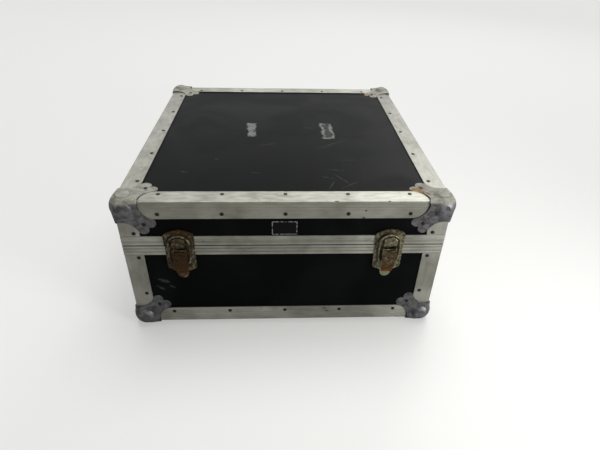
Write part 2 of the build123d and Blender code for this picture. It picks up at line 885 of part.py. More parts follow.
def base_lining():
    """Foam tray on the bottom board and up the walls, to the foot of the rim."""
    across = case_width - 2 * (board_inner + foam_play)
    deep = case_depth - 2 * (board_inner + foam_play)
    low = floor_level + board_inner + foam_play
    high = base_top - rim_inner_leg - foam_play
    with BuildPart() as lining:
        with BuildSketch(Plane.XY.offset(low)):
            Rectangle(across, deep)
        extrude(amount=high - low)
        with BuildSketch(Plane.XY.offset(low + lining_floor)):
            Rectangle(across - 2 * lining_wall, deep - 2 * lining_wall)
        extrude(amount=high - low, mode=Mode.SUBTRACT)
    save(lining, "base_lining")


def lid_pad():
    """Foam pad under the top board."""
    across = case_width - 2 * (board_inner + foam_play)
    deep = case_depth - 2 * (board_inner + foam_play)
    with BuildPart() as pad:
        with BuildSketch(Plane.XY.offset(lid_top - board_inner - foam_play)):
            Rectangle(across, deep)
        extrude(amount=-lid_pad_thickness)
    save(pad, "lid_pad")


# ---------------------------------------------------------------- the whole case

wall_low = floor_level + board_inner
wall_high = base_top - rim_wall
lid_wall_low = lid_bottom + tongue_height + groove_play + rim_wall
lid_wall_high = lid_top - board_inner

flat_board("base_bottom_board", floor_level + angle_wall)
flat_board("lid_top_board", lid_top - board_inner)
for side in SIDES:
    wall_board(f"base_{side}_board", side, wall_low, wall_high)
    wall_board(f"lid_{side}_board", side, lid_wall_low, lid_wall_high)
    edge_angle(f"base_{side}_edge", side, floor_level, 1)
    edge_angle(f"lid_{side}_edge", side, lid_top, -1)
    tongue_rim(f"base_{side}_rim", side)
    groove_rim(f"lid_{side}_rim", side)

corner_posts("base_corner_posts", floor_level + angle_leg, base_top - rim_height - post_play)
corner_posts("lid_corner_posts", lid_bottom + rim_height + post_play, lid_top - angle_leg)

ball_corner = ball_corner_form()
for corner in CORNERS:
    place_ball_corner(f"base_ball_corner_{corner}", ball_corner, corner, floor_level, 1)
    place_ball_corner(f"lid_ball_corner_{corner}", ball_corner, corner, lid_top, -1)

post_low = base_height - rim_height - post_rivet_gap
rivet_group("base_rivets", floor_level, 1, (base_height - post_rivet_low, post_low))
rivet_group("lid_rivets", lid_top, -1, (lid_height - rim_height - post_rivet_gap,))

for hand in HANDS:
    latch_keeper(hand)
    latch_base_plate(hand)
    latch_lever(hand)
    latch_loop(hand)
    handle_plate(hand)
    handle_bail(hand)
    handle_grip(hand)
latch_pivot_pins()

hinge_leaves("hinge_base_leaves", -1, 0, 0.0, False)
hinge_leaves("hinge_lid_leaves", 1, 1, pin_play, True)
hinge_pins()
name_plate()
base_lining()
lid_pad()
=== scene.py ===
"""Looks of a guitar pedal case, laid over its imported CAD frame.

The frame brings every rigid piece. This script gives each one its finish, adds the rivets and
the foam, and sets the floor, the light and the camera. Sizes are in millimetres, in the frame of
the CAD model, unless a name or a docstring says otherwise.
"""

import logging
import math
from dataclasses import dataclass, replace
from enum import Enum
from functools import reduce
from typing import Any, Iterable, Mapping, Sequence

import bmesh
import bpy
from mathutils import Matrix, Vector, noise


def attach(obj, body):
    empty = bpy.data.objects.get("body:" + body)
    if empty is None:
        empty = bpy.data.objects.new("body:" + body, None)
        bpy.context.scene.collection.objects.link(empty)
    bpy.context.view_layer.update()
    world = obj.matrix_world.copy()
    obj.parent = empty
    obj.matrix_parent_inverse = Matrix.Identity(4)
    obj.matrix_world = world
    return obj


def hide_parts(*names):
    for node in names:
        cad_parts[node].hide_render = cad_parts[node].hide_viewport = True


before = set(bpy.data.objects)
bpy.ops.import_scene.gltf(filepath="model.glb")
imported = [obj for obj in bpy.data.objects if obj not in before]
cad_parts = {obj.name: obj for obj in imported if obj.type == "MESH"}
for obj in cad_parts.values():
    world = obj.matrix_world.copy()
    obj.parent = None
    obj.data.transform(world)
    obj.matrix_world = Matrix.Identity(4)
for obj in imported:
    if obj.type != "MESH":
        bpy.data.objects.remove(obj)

LOG = logging.getLogger("pedal_case")
MM = 0.001
Socket = bpy.types.NodeSocket
Point = tuple[float, float, float]
Pair = tuple[float, float]


# ---------------------------------------------------------------- node trees


def linear(code: str) -> tuple[float, float, float, float]:
    """Turn an sRGB hex colour into linear values.

    Args:
        code: Six hex digits after a hash sign.

    Returns:
        Linear red, green and blue, with an alpha of one.
    """
    parts = [int(code[n : n + 2], 16) / 255 for n in (1, 3, 5)]
    red, green, blue = (
        part / 12.92 if part <= 0.04045 else ((part + 0.055) / 1.055) ** 2.4 for part in parts
    )
    return (red, green, blue, 1.0)


def between(ends: Pair, share: float) -> float:
    """Go a share of the way from the first end to the second, or past it."""
    return ends[0] + share * (ends[1] - ends[0])


class Graph:
    """Node tree under construction, of a material, the world or a Geometry Nodes group."""

    def __init__(self, tree: bpy.types.NodeTree) -> None:
        """Take an empty tree."""
        self.tree = tree

    def feed(self, node: bpy.types.Node, inputs: Mapping[Any, Any]) -> None:
        """Set or link the inputs of a node.

        Args:
            node: Node of this tree.
            inputs: Value, hex colour, field or output to link, for an input's name or index.
        """
        for key, value in inputs.items():
            value = value.socket if isinstance(value, Field) else value
            if isinstance(value, str) and value.startswith("#"):
                value = linear(value)
            if isinstance(value, Socket):
                self.tree.links.new(value, node.inputs[key])
            else:
                node.inputs[key].default_value = value

    def add(
        self, kind: str, inputs: Mapping[Any, Any] | None = None, **settings: Any
    ) -> bpy.types.Node:
        """Add one node with its settings, its values and its links.

        Args:
            kind: Blender's type name of the node.
            inputs: Value, hex colour, field or output to link, for an input's name or index.
            settings: Properties of the node itself.

        Returns:
            The new node.
        """
        node = self.tree.nodes.new(kind)
        for key, value in settings.items():
            setattr(node, key, value)
        self.feed(node, inputs or {})
        return node

    def fields(self, kind: str, inputs: Mapping[Any, Any], **settings: Any) -> list["Field"]:
        """Add a node and take its outputs as fields."""
        return [Field(self, part) for part in self.add(kind, inputs, **settings).outputs]

    def field(self, kind: str, inputs: Mapping[Any, Any], **settings: Any) -> "Field":
        """Add a node and take its first output as a field."""
        return self.fields(kind, inputs, **settings)[0]

    def work(self, operation: str, *values: Any, **settings: Any) -> "Field":
        """Work out one number from others, by Blender's name of the operation."""
        inputs = dict(enumerate(values))
        return self.field("ShaderNodeMath", inputs, operation=operation, **settings)

    def most(self, values: Iterable[Any]) -> Any:
        """Take the largest of several numbers."""
        return reduce(lambda one, other: self.work("MAXIMUM", one, other), values)


@dataclass(frozen=True)
class Field:
    """Number that varies over a surface or a mesh. Arithmetic on it adds nodes to its graph."""

    graph: Graph
    socket: Socket

    def __add__(self, other: Any) -> "Field":
        """Add a number."""
        return self.graph.work("ADD", self, other)

    def __sub__(self, other: Any) -> "Field":
        """Take a number away."""
        return self.graph.work("SUBTRACT", self, other)

    def __rsub__(self, other: Any) -> "Field":
        """Take this away from a number."""
        return self.graph.work("SUBTRACT", other, self)

    def __mul__(self, other: Any) -> "Field":
        """Multiply by a number."""
        return self.graph.work("MULTIPLY", self, other)

    def __truediv__(self, other: Any) -> "Field":
        """Divide by a number."""
        return self.graph.work("DIVIDE", self, other)

    def __abs__(self) -> "Field":
        """Drop the sign."""
        return self.graph.work("ABSOLUTE", self)

    def step(self, start: float, end: float) -> "Field":
        """Step smoothly from zero at the start to one at the end, whichever of them is higher."""
        inputs = {"Value": self, "From Min": start, "From Max": end}
        return self.graph.field("ShaderNodeMapRange", inputs, interpolation_type="SMOOTHSTEP")

    def span(self, low: float, high: float) -> "Field":
        """Spread a mask, so that zero becomes the first number and one the second."""
        return self.graph.work("MULTIPLY_ADD", self, high - low, low)


class Grain(Enum):
    """Direction that an extrusion was drawn in."""

    X = 0
    Y = 1
    Z = 2

    def stretched(self, length: float) -> Point:
        """Stretch a pattern along the grain."""
        return tuple(length if n == self.value else 1.0 for n in range(3))


@dataclass(frozen=True)
class CaseSizes:
    """Sizes of the case that the pieces and patterns of this script line up with."""

    width: float = 500.0
    depth: float = 520.0
    floor_level: float = 7.0
    base_height: float = 161.0
    lid_height: float = 79.0
    seam_gap: float = 0.4
    angle_wall: float = 1.5
    board: float = 9.0
    rim_inner_leg: float = 14.0
    foam_play: float = 0.3

    @property
    def base_top(self) -> float:
        """Level of the base's rim."""
        return self.floor_level + self.base_height

    @property
    def seam(self) -> float:
        """Level of the middle of the seam."""
        return self.base_top + self.seam_gap / 2

    @property
    def lid_top(self) -> float:
        """Level of the lid's aluminium."""
        return self.base_top + self.seam_gap + self.lid_height

    @property
    def foam_half(self) -> Pair:
        """Half of the foam's width and depth."""
        inset = self.angle_wall + self.board + self.foam_play
        return (self.width / 2 - inset, self.depth / 2 - inset)

    def from_edges(self, axes: Sequence[Field]) -> list[Field]:
        """Measure how far a point lies inside the outer edges of the aluminium.

        Args:
            axes: The point's place in the frame.

        Returns:
            Distance along X, Y and Z, from the nearer side each time.
        """
        halves = (self.width / 2, self.depth / 2, (self.lid_top - self.floor_level) / 2)
        middles = (0.0, 0.0, (self.lid_top + self.floor_level) / 2)
        return [half - abs(axis - middle) for axis, half, middle in zip(axes, halves, middles)]


CASE = CaseSizes()


# ---------------------------------------------------------------- finishes


@dataclass(frozen=True)
class Scuff:
    """Rub or nick in a face: X and Y on a lying face or X and Z on a standing one, size, turn."""

    spot: Pair
    length: float
    width: float
    turn: float


@dataclass(frozen=True)
class Patches:
    """Soft patches of one width, with the noise levels where a patch begins and is full.

    The detail counts octaves of finer noise, the shift keeps two patterns apart, and the warp
    distorts the patches.
    """

    size: float
    start: float
    end: float
    detail: float
    shift: float = 0.0
    warp: float = 0.0

    @property
    def place(self) -> Point:
        """Place in the noise, shifted by another amount along each axis."""
        return (self.shift, 1.7 * self.shift, 0.6 * self.shift)

    def moved(self, shift: float) -> "Patches":
        """Take the same kind of patches from another place in the noise."""
        return replace(self, shift=self.shift + shift)


class Recipe(Graph):
    """Material under construction: the colour so far, and the patterns that finishes share."""

    def __init__(self, name: str, ground: str) -> None:
        """Start a material.

        Args:
            name: Name of the material.
            ground: Hex colour below all coats.
        """
        self.material = bpy.data.materials.new(name)
        self.material.use_nodes = True
        super().__init__(self.material.node_tree)
        self.tree.nodes.clear()
        self.shader = self.add("ShaderNodeBsdfPrincipled")
        self.add("ShaderNodeOutputMaterial", {"Surface": self.shader.outputs["BSDF"]})
        self.place = self.add("ShaderNodeTexCoord").outputs["Object"]
        axes = self.fields("ShaderNodeSeparateXYZ", {0: self.place})
        self.axes = [axis / MM for axis in axes]
        self.colour: Any = linear(ground)

    def coat(self, over: Any, mask: Field, share: float = 1.0) -> None:
        """Lay a colour over what is there, covering at most the given share of it."""
        inputs = {0: mask * share, 6: self.colour, 7: over}
        self.colour = self.fields("ShaderNodeMix", inputs, data_type="RGBA")[2]

    def clouds(self, patches: Patches, stretch: Point = (1.0, 1.0, 1.0)) -> Field:
        """Make soft patches.

        Args:
            patches: Their size and kind.
            stretch: Length of a patch along each axis, in widths.

        Returns:
            Mask of the patches.
        """
        inputs = {"Vector": self.place, "Location": patches.place}
        moved = self.add("ShaderNodeMapping", inputs, vector_type="TEXTURE")
        scale = tuple(1 / (patches.size * part * MM) for part in stretch)
        scaled = self.add(
            "ShaderNodeVectorMath", {0: moved.outputs[0], 1: scale}, operation="MULTIPLY"
        )
        inputs = {"Scale": 1.0, "Detail": patches.detail, "Distortion": patches.warp}
        noises = self.field("ShaderNodeTexNoise", {"Vector": scaled.outputs[0], **inputs})
        return noises.step(patches.start, patches.end)

    def box_mask(
        self,
        low: Sequence[float | None],
        high: Sequence[float | None],
        soft: float,
        sway: Sequence[Any] = (0.0, 0.0, 0.0),
    ) -> Field:
        """Mark a box in the frame, with soft faces.

        Args:
            low: Lowest corner, with None on an axis that is not limited.
            high: Highest corner, likewise.
            soft: Half of the width of the fade.
            sway: How far the box strays along each axis.

        Returns:
            Mask of the box.
        """
        mask: Any = 1.0
        for axis, lower, upper, stray in zip(self.axes, low, high, sway):
            if lower is not None and upper is not None:
                half = (upper - lower) / 2
                away = abs(axis - (lower + upper) / 2 + stray)
                mask = away.step(half + soft, half - soft) * mask
        return mask

    def rub(self, scuff: Scuff, upright: bool) -> Field:
        """Mark one rub.

        Args:
            scuff: Its place and size.
            upright: Whether its face stands.

        Returns:
            Mask of the rub.
        """
        cosine, sine = math.cos(math.radians(scuff.turn)), math.sin(math.radians(scuff.turn))
        over, up = self.axes[0] - scuff.spot[0], self.axes[2 if upright else 1] - scuff.spot[1]
        along = (over * cosine + up * sine) / (scuff.length / 2)
        across = (up * cosine - over * sine) / (scuff.width / 2)
        return (along * along + across * across).step(1.0, 0.3)

    def finish(
        self, roughness: Any, height: Any = 0.0, depth: float = 0.0, **values: Any
    ) -> bpy.types.Material:
        """Set the shader's inputs.

        Args:
            roughness: Number or field.
            height: Relief of the surface, in depths.
            depth: Depth of the relief.
            values: Other inputs, with underscores for spaces.

        Returns:
            The finished material.
        """
        values.update(Base_Color=self.colour, Roughness=roughness)
        if depth > 0.0:
            inputs = {"Height": height, "Strength": 1.0, "Distance": depth * MM}
            values["Normal"] = self.add("ShaderNodeBump", inputs).outputs["Normal"]
        self.feed(self.shader, {key.replace("_", " "): value for key, value in values.items()})
        return self.material


@dataclass(frozen=True)
class MillAluminium:
    """Extruded aluminium, left as it was drawn: fine die lines, a chalky oxide bloom, stains, with
    painted shade in the flutes, along the seam, under the window rims and on the lid's upper legs.

    The die lines are drawn about a millimetre wide, coarser than real ones, so that they show.
    """

    grain: Grain
    bright: str = "#AAAAA0"
    dull: str = "#7E7E74"
    # Colour of the specks and stains, also laid as painted shade in the flutes and on the lid's
    # upper legs.
    stain: str = "#57523F"
    # Colour of the grime in the nicks, also used for the painted shade along the seam and under the
    # window rims.
    grime_and_shade: str = "#15130E"
    bleed: str = "#8A7246"
    lines: Patches = Patches(1.1, 0.3, 0.7, 2.0, 3.1)
    line_stretch: float = 90.0
    line_depth: float = 0.025
    roughness: Pair = (0.34, 0.46)
    bloom: Patches = Patches(7.0, 0.3, 0.7, 6.0, 1.3)
    bloom_stretch: float = 3.0
    bloom_shares: Pair = (0.3, 0.6)
    broad: Patches = Patches(70.0, 0.36, 0.64, 2.0, 4.3)
    specks: Patches = Patches(2.4, 0.66, 0.74, 2.0, 7.7)
    stains: Patches = Patches(18.0, 0.62, 0.74, 4.0, 5.2, 0.5)
    upper_leg_shade_drop: Pair = (32.0, 28.0)
    window_centre: Pair = (59.2, 6.0)
    window_radius: float = 24.5
    window_shadow_shares: Pair = (0.92, 0.32)
    window_shadow_width: Pair = (1.5, 0.4)
    seam_shade_width: Pair = (1.5, 0.6)
    flutes: tuple[Pair, ...] = ((7.2, 2.4), (-5.6, 1.5), (-12.4, 2.4))
    flute_depth: float = 0.42
    bleed_width: Pair = (6.0, 1.0)
    bleed_box: tuple[Point, Point] = ((170.0, -250.0, 240.0), (250.0, -205.0, 260.0))
    faint_shadow_box: tuple[Point, Point] = ((-255.0, -265.0, 195.0), (-170.0, -257.0, 245.0))
    front: Pair = (-257.5, -258.5)
    nicks: tuple[Scuff, ...] = (
        Scuff((68.1, 31.6), 7.5, 3.4, 4.0),
        Scuff((72.4, 25.0), 10.0, 3.0, -20.0),
        Scuff((120.1, 231.1), 4.6, 3.4, 0.0),
        Scuff((117.7, 219.0), 5.0, 3.4, 0.0),
        Scuff((75.2, 247.4), 8.0, 2.4, 0.0),
        Scuff((153.7, 247.4), 5.0, 2.4, 0.0),
        Scuff((-126.0, 176.0), 6.0, 1.6, 0.0),
    )

    def window_distance(self, recipe: Recipe) -> Field:
        """Measure how far a point lies from the rim of the ball corner's window.

        Args:
            recipe: Material under construction.

        Returns:
            The distance, on whichever side of the rim.
        """
        insets = CASE.from_edges(recipe.axes)
        along = recipe.work("MINIMUM", insets.pop(self.grain.value) - self.window_centre[0], 0.0)
        across = recipe.most(insets) - self.window_centre[1]
        radius = recipe.work("SQRT", along * along + across * across)
        return abs(radius - self.window_radius)

    def soil_and_shade(self, recipe: Recipe, height: Field) -> Field:
        """Draw the flutes of the closing rims with painted shade in their hollows, the painted
        shade along the seam and under the window rims, and the rust that has run.

        Args:
            recipe: Material under construction.
            height: Relief so far, in depths of a die line.

        Returns:
            The relief with the flutes in it.
        """
        level = recipe.axes[2] - CASE.seam
        for middle, half in self.flutes:
            flute_hollow = abs(level - middle).step(half, 0.3 * half)
            height = height - flute_hollow * (self.flute_depth / self.line_depth)
            # The stain colour in each flute's hollow is painted shade, laid beside the hollow's
            # bump.
            recipe.coat(self.stain, flute_hollow, share=0.3)
        away = self.window_distance(recipe)
        # Painted shadow: a near-black line along the rim of each ball corner's window, where the
        # flange's edge stands over the aluminium. It is fainter inside the box at the front left.
        shadow_share = recipe.box_mask(*self.faint_shadow_box, 2.0).span(*self.window_shadow_shares)
        recipe.coat(self.grime_and_shade, away.step(*self.window_shadow_width) * shadow_share)
        near = recipe.box_mask(*self.bleed_box, 6.0)
        recipe.coat(self.bleed, away.step(*self.bleed_width) * near, share=0.4)
        # Painted shade: a near-black band along the seam between the lid's rim and the base's rim.
        recipe.coat(self.grime_and_shade, abs(level).step(*self.seam_shade_width), share=0.85)
        return height

    def make(self) -> bpy.types.Material:
        """Build the material."""
        recipe = Recipe(f"mill_aluminium_{self.grain.name.lower()}", self.dull)
        drop = CASE.lid_top - recipe.axes[2]
        lines = recipe.clouds(self.lines, self.grain.stretched(self.line_stretch))
        bloom = recipe.clouds(self.bloom, self.grain.stretched(self.bloom_stretch))
        upper = drop.step(3.0, 1.0).span(*self.bloom_shares)
        clouded = bloom * upper + recipe.clouds(self.broad) * (1.0 - upper)
        recipe.coat(self.bright, clouded)
        recipe.coat(self.dull, lines, share=0.22)
        recipe.coat(self.stain, recipe.clouds(self.specks), share=0.35)
        recipe.coat(self.stain, recipe.clouds(self.stains), share=0.28)
        # Painted shade: the lid's edging is darkened from 2 to 28 mm below its top, over its upper
        # legs.
        upper_leg_shade = drop.step(*self.upper_leg_shade_drop) * drop.step(1.0, 2.0)
        recipe.coat(self.stain, upper_leg_shade, share=0.3)
        height = lines if self.grain is Grain.Z else self.soil_and_shade(recipe, lines)
        if self.grain is Grain.X:
            front = recipe.axes[1].step(*self.front)
            for nick in self.nicks:
                recipe.coat(self.grime_and_shade, recipe.rub(nick, True) * front, share=0.8)
        drawn = recipe.add(
            "ShaderNodeVectorTransform",
            {"Vector": tuple(float(n == self.grain.value) for n in range(3))},
            vector_type="VECTOR",
            convert_from="OBJECT",
            convert_to="WORLD",
        )
        metal = {"Metallic": 0.6, "Anisotropic": 0.6, "Anisotropic_Rotation": 0.25}
        roughness = clouded.span(*self.roughness)
        return recipe.finish(roughness, height, self.line_depth, Tangent=drawn.outputs[0], **metal)


@dataclass(frozen=True)
class Residue:
    """Patch where something was stuck to a board and left its glue, whole or round its rim."""

    low: Pair
    high: Pair
    shift: float
    rim: float | None = None


@dataclass(frozen=True)
class BlackLaminate:
    """Hard laminate on plywood: near-black, finely stippled, dulled by scuffs and wiping.

    The stipple is drawn coarser than a real one, so that it shows.
    """

    name: str
    residues: tuple[Residue, ...] = ()
    scuffs: tuple[Scuff, ...] = ()
    upright: bool = True
    base: str = "#050606"
    faded: str = "#0D0F0F"
    scratch: str = "#4A4D4D"
    glue: str = "#8C8F8B"
    wiped: Patches = Patches(130.0, 0.4, 0.66, 4.0, 2.2, 0.8)
    stipple: Patches = Patches(1.1, 0.3, 0.7, 1.0, 0.4)
    broken: Patches = Patches(5.0, 0.3, 0.6, 3.0, 6.1)
    flaked: Patches = Patches(7.0, 0.3, 0.54, 5.0, 0.0, 0.8)
    torn: Patches = Patches(22.0, 0.2, 0.8, 2.0)
    torn_reach: Pair = (-3.5, 3.5)
    bare_shares: Pair = (1.0, 0.25)
    roughness: Pair = (0.34, 0.46)

    def stuck(self, recipe: Recipe, residue: Residue) -> Field:
        """Mark the glue that one residue left, torn along its outline.

        Args:
            recipe: Material under construction.
            residue: Its place and kind.

        Returns:
            Mask of the glue.
        """
        torn = [recipe.clouds(self.torn.moved(residue.shift + n)) for n in (3.0, 5.0)]
        sway = [part.span(*self.torn_reach) for part in torn] + [0.0]
        area = recipe.box_mask((*residue.low, None), (*residue.high, None), 2.0, sway)
        if residue.rim is not None:
            low = [value + residue.rim for value in residue.low]
            high = [value - residue.rim for value in residue.high]
            bare = recipe.box_mask((*low, None), (*high, None), 1.5, sway)
            area = area * bare.span(*self.bare_shares)
        return area * recipe.clouds(self.flaked.moved(residue.shift))

    def make(self) -> bpy.types.Material:
        """Build the material."""
        recipe = Recipe(self.name, self.base)
        wiped = recipe.clouds(self.wiped)
        height = recipe.clouds(self.stipple)
        recipe.coat(self.faded, wiped, share=0.55)
        if self.scuffs:
            rubs = recipe.most(recipe.rub(scuff, self.upright) for scuff in self.scuffs)
            recipe.coat(self.scratch, rubs * recipe.clouds(self.broken), share=0.5)
        if self.residues:
            glue = recipe.most(self.stuck(recipe, residue) for residue in self.residues)
            recipe.coat(self.glue, glue, share=0.8)
            height = glue * 3.0 + height
        roughness = wiped.span(*self.roughness)
        return recipe.finish(roughness, height, 0.05, Specular_IOR_Level=0.035)


@dataclass(frozen=True)
class ZincPressing:
    """Deep-drawn steel, zinc-plated: chalky oxide on top, blue-grey below, rust at the lobes, and a
    painted shade line round each crown.
    """

    name: str
    rusted: float
    stains: tuple[Scuff, ...] = ()
    light: str = "#6F6E71"
    dark: str = "#424243"
    chalk: str = "#A3A296"
    smoke: str = "#77766B"
    rust: str = "#5A3510"
    film: str = "#8F7449"
    mottle: Patches = Patches(9.0, 0.3, 0.7, 5.0, 2.6, 0.5)
    fine: Patches = Patches(2.6, 0.35, 0.7, 3.0, 8.8)
    spots: Patches = Patches(6.0, 0.46, 0.66, 2.0, 6.3)
    haze: Patches = Patches(20.0, 0.4, 0.6, 3.0, 1.9)
    pits: Patches = Patches(4.0, 0.4, 0.6, 3.0, 9.2)
    crown_spot: float = 12.5
    crown_rim: float = 11.0
    crown_rim_shade: Pair = (1.2, 0.3)
    lobes: Pair = (66.0, 88.0)
    fold: float = 5.0
    roughness: Pair = (0.4, 0.65)
    roughening: float = 0.12
    metallic: Pair = (0.65, 0.25)

    def corrode(self, recipe: Recipe, insets: Sequence[Field], upper: Field) -> None:
        """Rust the lobes, and stain the places where the plating has gone.

        Args:
            recipe: Material under construction.
            insets: Distances from the case's edges.
            upper: Mask of the top face.
        """
        lobes = (insets[0] + insets[1] + insets[2]).step(*self.lobes)
        taken = lobes * upper.span(0.25, 1.0) * self.rusted
        recipe.coat(self.film, taken * recipe.clouds(self.haze), share=0.6)
        recipe.coat(self.rust, taken * recipe.clouds(self.spots), share=0.8)
        pits = recipe.clouds(self.pits)
        for stain in self.stains:
            soft = recipe.rub(stain, False) * upper
            recipe.coat(self.film, soft, share=0.6)
            recipe.coat(self.rust, soft * pits, share=0.85)

    def make(self) -> bpy.types.Material:
        """Build the material."""
        recipe = Recipe(self.name, self.dark)
        insets = CASE.from_edges(recipe.axes)
        upper = recipe.axes[2].step(CASE.lid_top - self.fold, CASE.lid_top)
        mottle = recipe.clouds(self.mottle)
        fine = recipe.clouds(self.fine)
        recipe.coat(self.light, mottle)
        inputs = {0: mottle, 6: self.smoke, 7: self.chalk}
        recipe.coat(recipe.fields("ShaderNodeMix", inputs, data_type="RGBA")[2], upper)
        recipe.coat(self.dark, fine, share=0.25)
        # Painted shade: a dark line round the rim of the crown on top of each ball corner, in its
        # crease.
        across, deep = (inset - self.crown_spot for inset in insets[:2])
        out = recipe.work("SQRT", across * across + deep * deep) - self.crown_rim
        recipe.coat(self.dark, abs(out).step(*self.crown_rim_shade) * upper, share=0.45)
        self.corrode(recipe, insets, upper)
        roughness = mottle * self.roughening + upper.span(*self.roughness)
        return recipe.finish(roughness, fine, 0.04, Metallic=upper.span(*self.metallic))


@dataclass(frozen=True)
class RustedNickel:
    """Nickel-plated steel, long out of its shine: green-grey metal, brown tarnish, orange bloom.

    More tarnish lowers the noise level where brown patches begin, and more bloom that of the rust.
    The pairs for brown and bloom hold the values at none and at full tarnish or bloom.
    """

    name: str
    tarnished: float
    bloomed: float = 0.3
    lip_rust: float = 0.0
    lip_fade: Pair = (24.0, 50.0)
    bare_tab: bool = False
    plate: str = "#848169"
    dull: str = "#524E3D"
    tarnish: str = "#2C1D10"
    pitted: str = "#100B07"
    rust: str = "#3F2206"
    fresh: str = "#653B05"
    patch: float = 9.0
    wander: float = 11.0
    brown_edge: float = 0.1
    brown_level: Pair = (0.66, 0.34)
    brown_strength: Pair = (0.45, 0.95)
    bloom_size: float = 4.0
    bloom_start: Pair = (0.68, 0.52)
    bloom_full: Pair = (0.74, 0.64)
    tab_drop: Pair = (47.0, 42.0)
    roughness: Pair = (0.34, 0.64)
    haze: Patches = Patches(5.0, 0.35, 0.65, 4.0, 3.7)
    grains: Patches = Patches(1.3, 0.35, 0.68, 3.0, 5.5)
    flecks: Patches = Patches(3.0, 0.4, 0.7, 2.0, 7.9)
    pits: Patches = Patches(4.0, 0.46, 0.62, 3.0, 4.0)

    def make(self) -> bpy.types.Material:
        """Build the material."""
        recipe = Recipe(self.name, self.dull)
        shift = self.wander * self.tarnished
        haze, grains = recipe.clouds(self.haze), recipe.clouds(self.grains)
        level = between(self.brown_level, self.tarnished)
        edges = [level - self.brown_edge, level + self.brown_edge]
        browned = recipe.clouds(Patches(self.patch, *edges, detail=5.0, shift=shift, warp=0.4))
        pits = recipe.clouds(self.pits.moved(shift))
        edges = [between(ends, self.bloomed) for ends in (self.bloom_start, self.bloom_full)]
        blooms = recipe.clouds(Patches(self.bloom_size, *edges, detail=4.0, shift=shift + 2.0))
        orange = recipe.clouds(self.flecks) * 0.35
        recipe.coat(self.plate, haze)
        strength = between(self.brown_strength, min(1.0, self.tarnished))
        film = browned * grains.span(strength - 0.15, strength)
        if self.bare_tab:
            tab = recipe.axes[2].step(*(CASE.seam - drop for drop in self.tab_drop)).span(0.15, 1.0)
            film = film * tab
            recipe.coat(self.plate, 1.0 - tab)
        recipe.coat(self.tarnish, film)
        recipe.coat(self.pitted, browned * pits, share=0.6)
        if self.lip_rust > 0.0:
            eaten = recipe.axes[2].step(*(CASE.seam - drop for drop in self.lip_fade))
            eaten = eaten * self.lip_rust
            blooms = recipe.most([blooms, eaten])
            orange = recipe.most([orange, eaten * grains.span(0.4, 0.9) * haze])
        inputs = {0: orange, 6: self.rust, 7: self.fresh}
        bloom = recipe.fields("ShaderNodeMix", inputs, data_type="RGBA")[2]
        recipe.coat(bloom, blooms, share=0.8)
        rough = recipe.most([browned, blooms])
        metal = {"Metallic": 0.65, "Specular_IOR_Level": 0.2}
        return recipe.finish(rough.span(*self.roughness), rough * grains, 0.08, **metal)


@dataclass(frozen=True)
class BlackenedSteel:
    """Blackened steel rivet: dark brown-black, its crown rubbed a little paler."""

    name: str = "blackened_steel"
    body: str = "#12100D"
    worn: str = "#655B49"
    roughness: Pair = (0.42, 0.62)
    patches: Patches = Patches(2.2, 0.45, 0.7, 3.0, 1.1)

    def make(self) -> bpy.types.Material:
        """Build the material."""
        recipe = Recipe(self.name, self.body)
        wear = recipe.add("ShaderNodeAttribute", attribute_name="wear").outputs["Fac"]
        patches = recipe.clouds(self.patches)
        upper = recipe.axes[2].step(CASE.lid_top - 1, CASE.lid_top).span(0.15, 1.0)
        recipe.coat(self.worn, patches * wear * upper)
        return recipe.finish(patches.span(*self.roughness), patches, 0.05, Metallic=0.55)


@dataclass(frozen=True)
class BlankPlate:
    """Printed plate left blank: black lacquer inside a thin, chipped, grey frame line."""

    name: str = "blank_plate"
    black: str = "#050506"
    line: str = "#8E918E"
    centre: Pair = (-1.3, 199.9)
    half: Pair = (19.25, 12.0)
    line_width: float = 1.2
    roughness: Pair = (0.34, 0.52)
    chips: Patches = Patches(3.5, 0.36, 0.52, 3.0, 2.9)
    haze: Patches = Patches(12.0, 0.4, 0.7, 3.0, 4.4)

    def make(self) -> bpy.types.Material:
        """Build the material."""
        recipe = Recipe(self.name, self.black)
        (across, up), (wide, tall) = self.centre, (half - self.line_width for half in self.half)
        low, high = (across - wide, None, up - tall), (across + wide, None, up + tall)
        chips = recipe.clouds(self.chips)
        recipe.coat(self.line, (1.0 - recipe.box_mask(low, high, 0.15)) * chips, share=0.8)
        roughness = recipe.clouds(self.haze).span(*self.roughness)
        return recipe.finish(roughness, chips, 0.02, Specular_IOR_Level=0.1)


@dataclass(frozen=True)
class MouldedRubber:
    """Moulded rubber grip: matt black with a spark-eroded skin, greyed by hands.

    The skin's grain is drawn coarser than a real one, so that it shows.
    """

    name: str = "moulded_rubber"
    black: str = "#161616"
    worn: str = "#2B2B2A"
    skin: Patches = Patches(1.0, 0.3, 0.7, 1.0, 0.8)
    hands: Patches = Patches(24.0, 0.42, 0.66, 3.0, 6.6)

    def make(self) -> bpy.types.Material:
        """Build the material."""
        recipe = Recipe(self.name, self.black)
        recipe.coat(self.worn, recipe.clouds(self.hands))
        return recipe.finish(0.62, recipe.clouds(self.skin), 0.05)


@dataclass(frozen=True)
class OpenCellFoam:
    """Charcoal polyurethane foam: open cells that swallow light, drawn coarse enough to show."""

    name: str = "open_cell_foam"
    deep: str = "#131314"
    skin: str = "#2C2D2F"
    cell: float = 1.8
    wall: Pair = (0.15, 0.75)
    dust: Patches = Patches(60.0, 0.4, 0.7, 4.0, 3.3)

    def make(self) -> bpy.types.Material:
        """Build the material."""
        recipe = Recipe(self.name, self.deep)
        inputs = {"Vector": recipe.place, "Scale": 1 / (self.cell * MM), "Randomness": 1.0}
        walls = recipe.field("ShaderNodeTexVoronoi", inputs).step(*self.wall)
        recipe.coat(self.skin, walls)
        recipe.coat(self.skin, recipe.clouds(self.dust), share=0.25)
        return recipe.finish(0.95, walls, 0.4, Sheen_Weight=0.2, Sheen_Roughness=0.6)


# ---------------------------------------------------------------- making and placing pieces


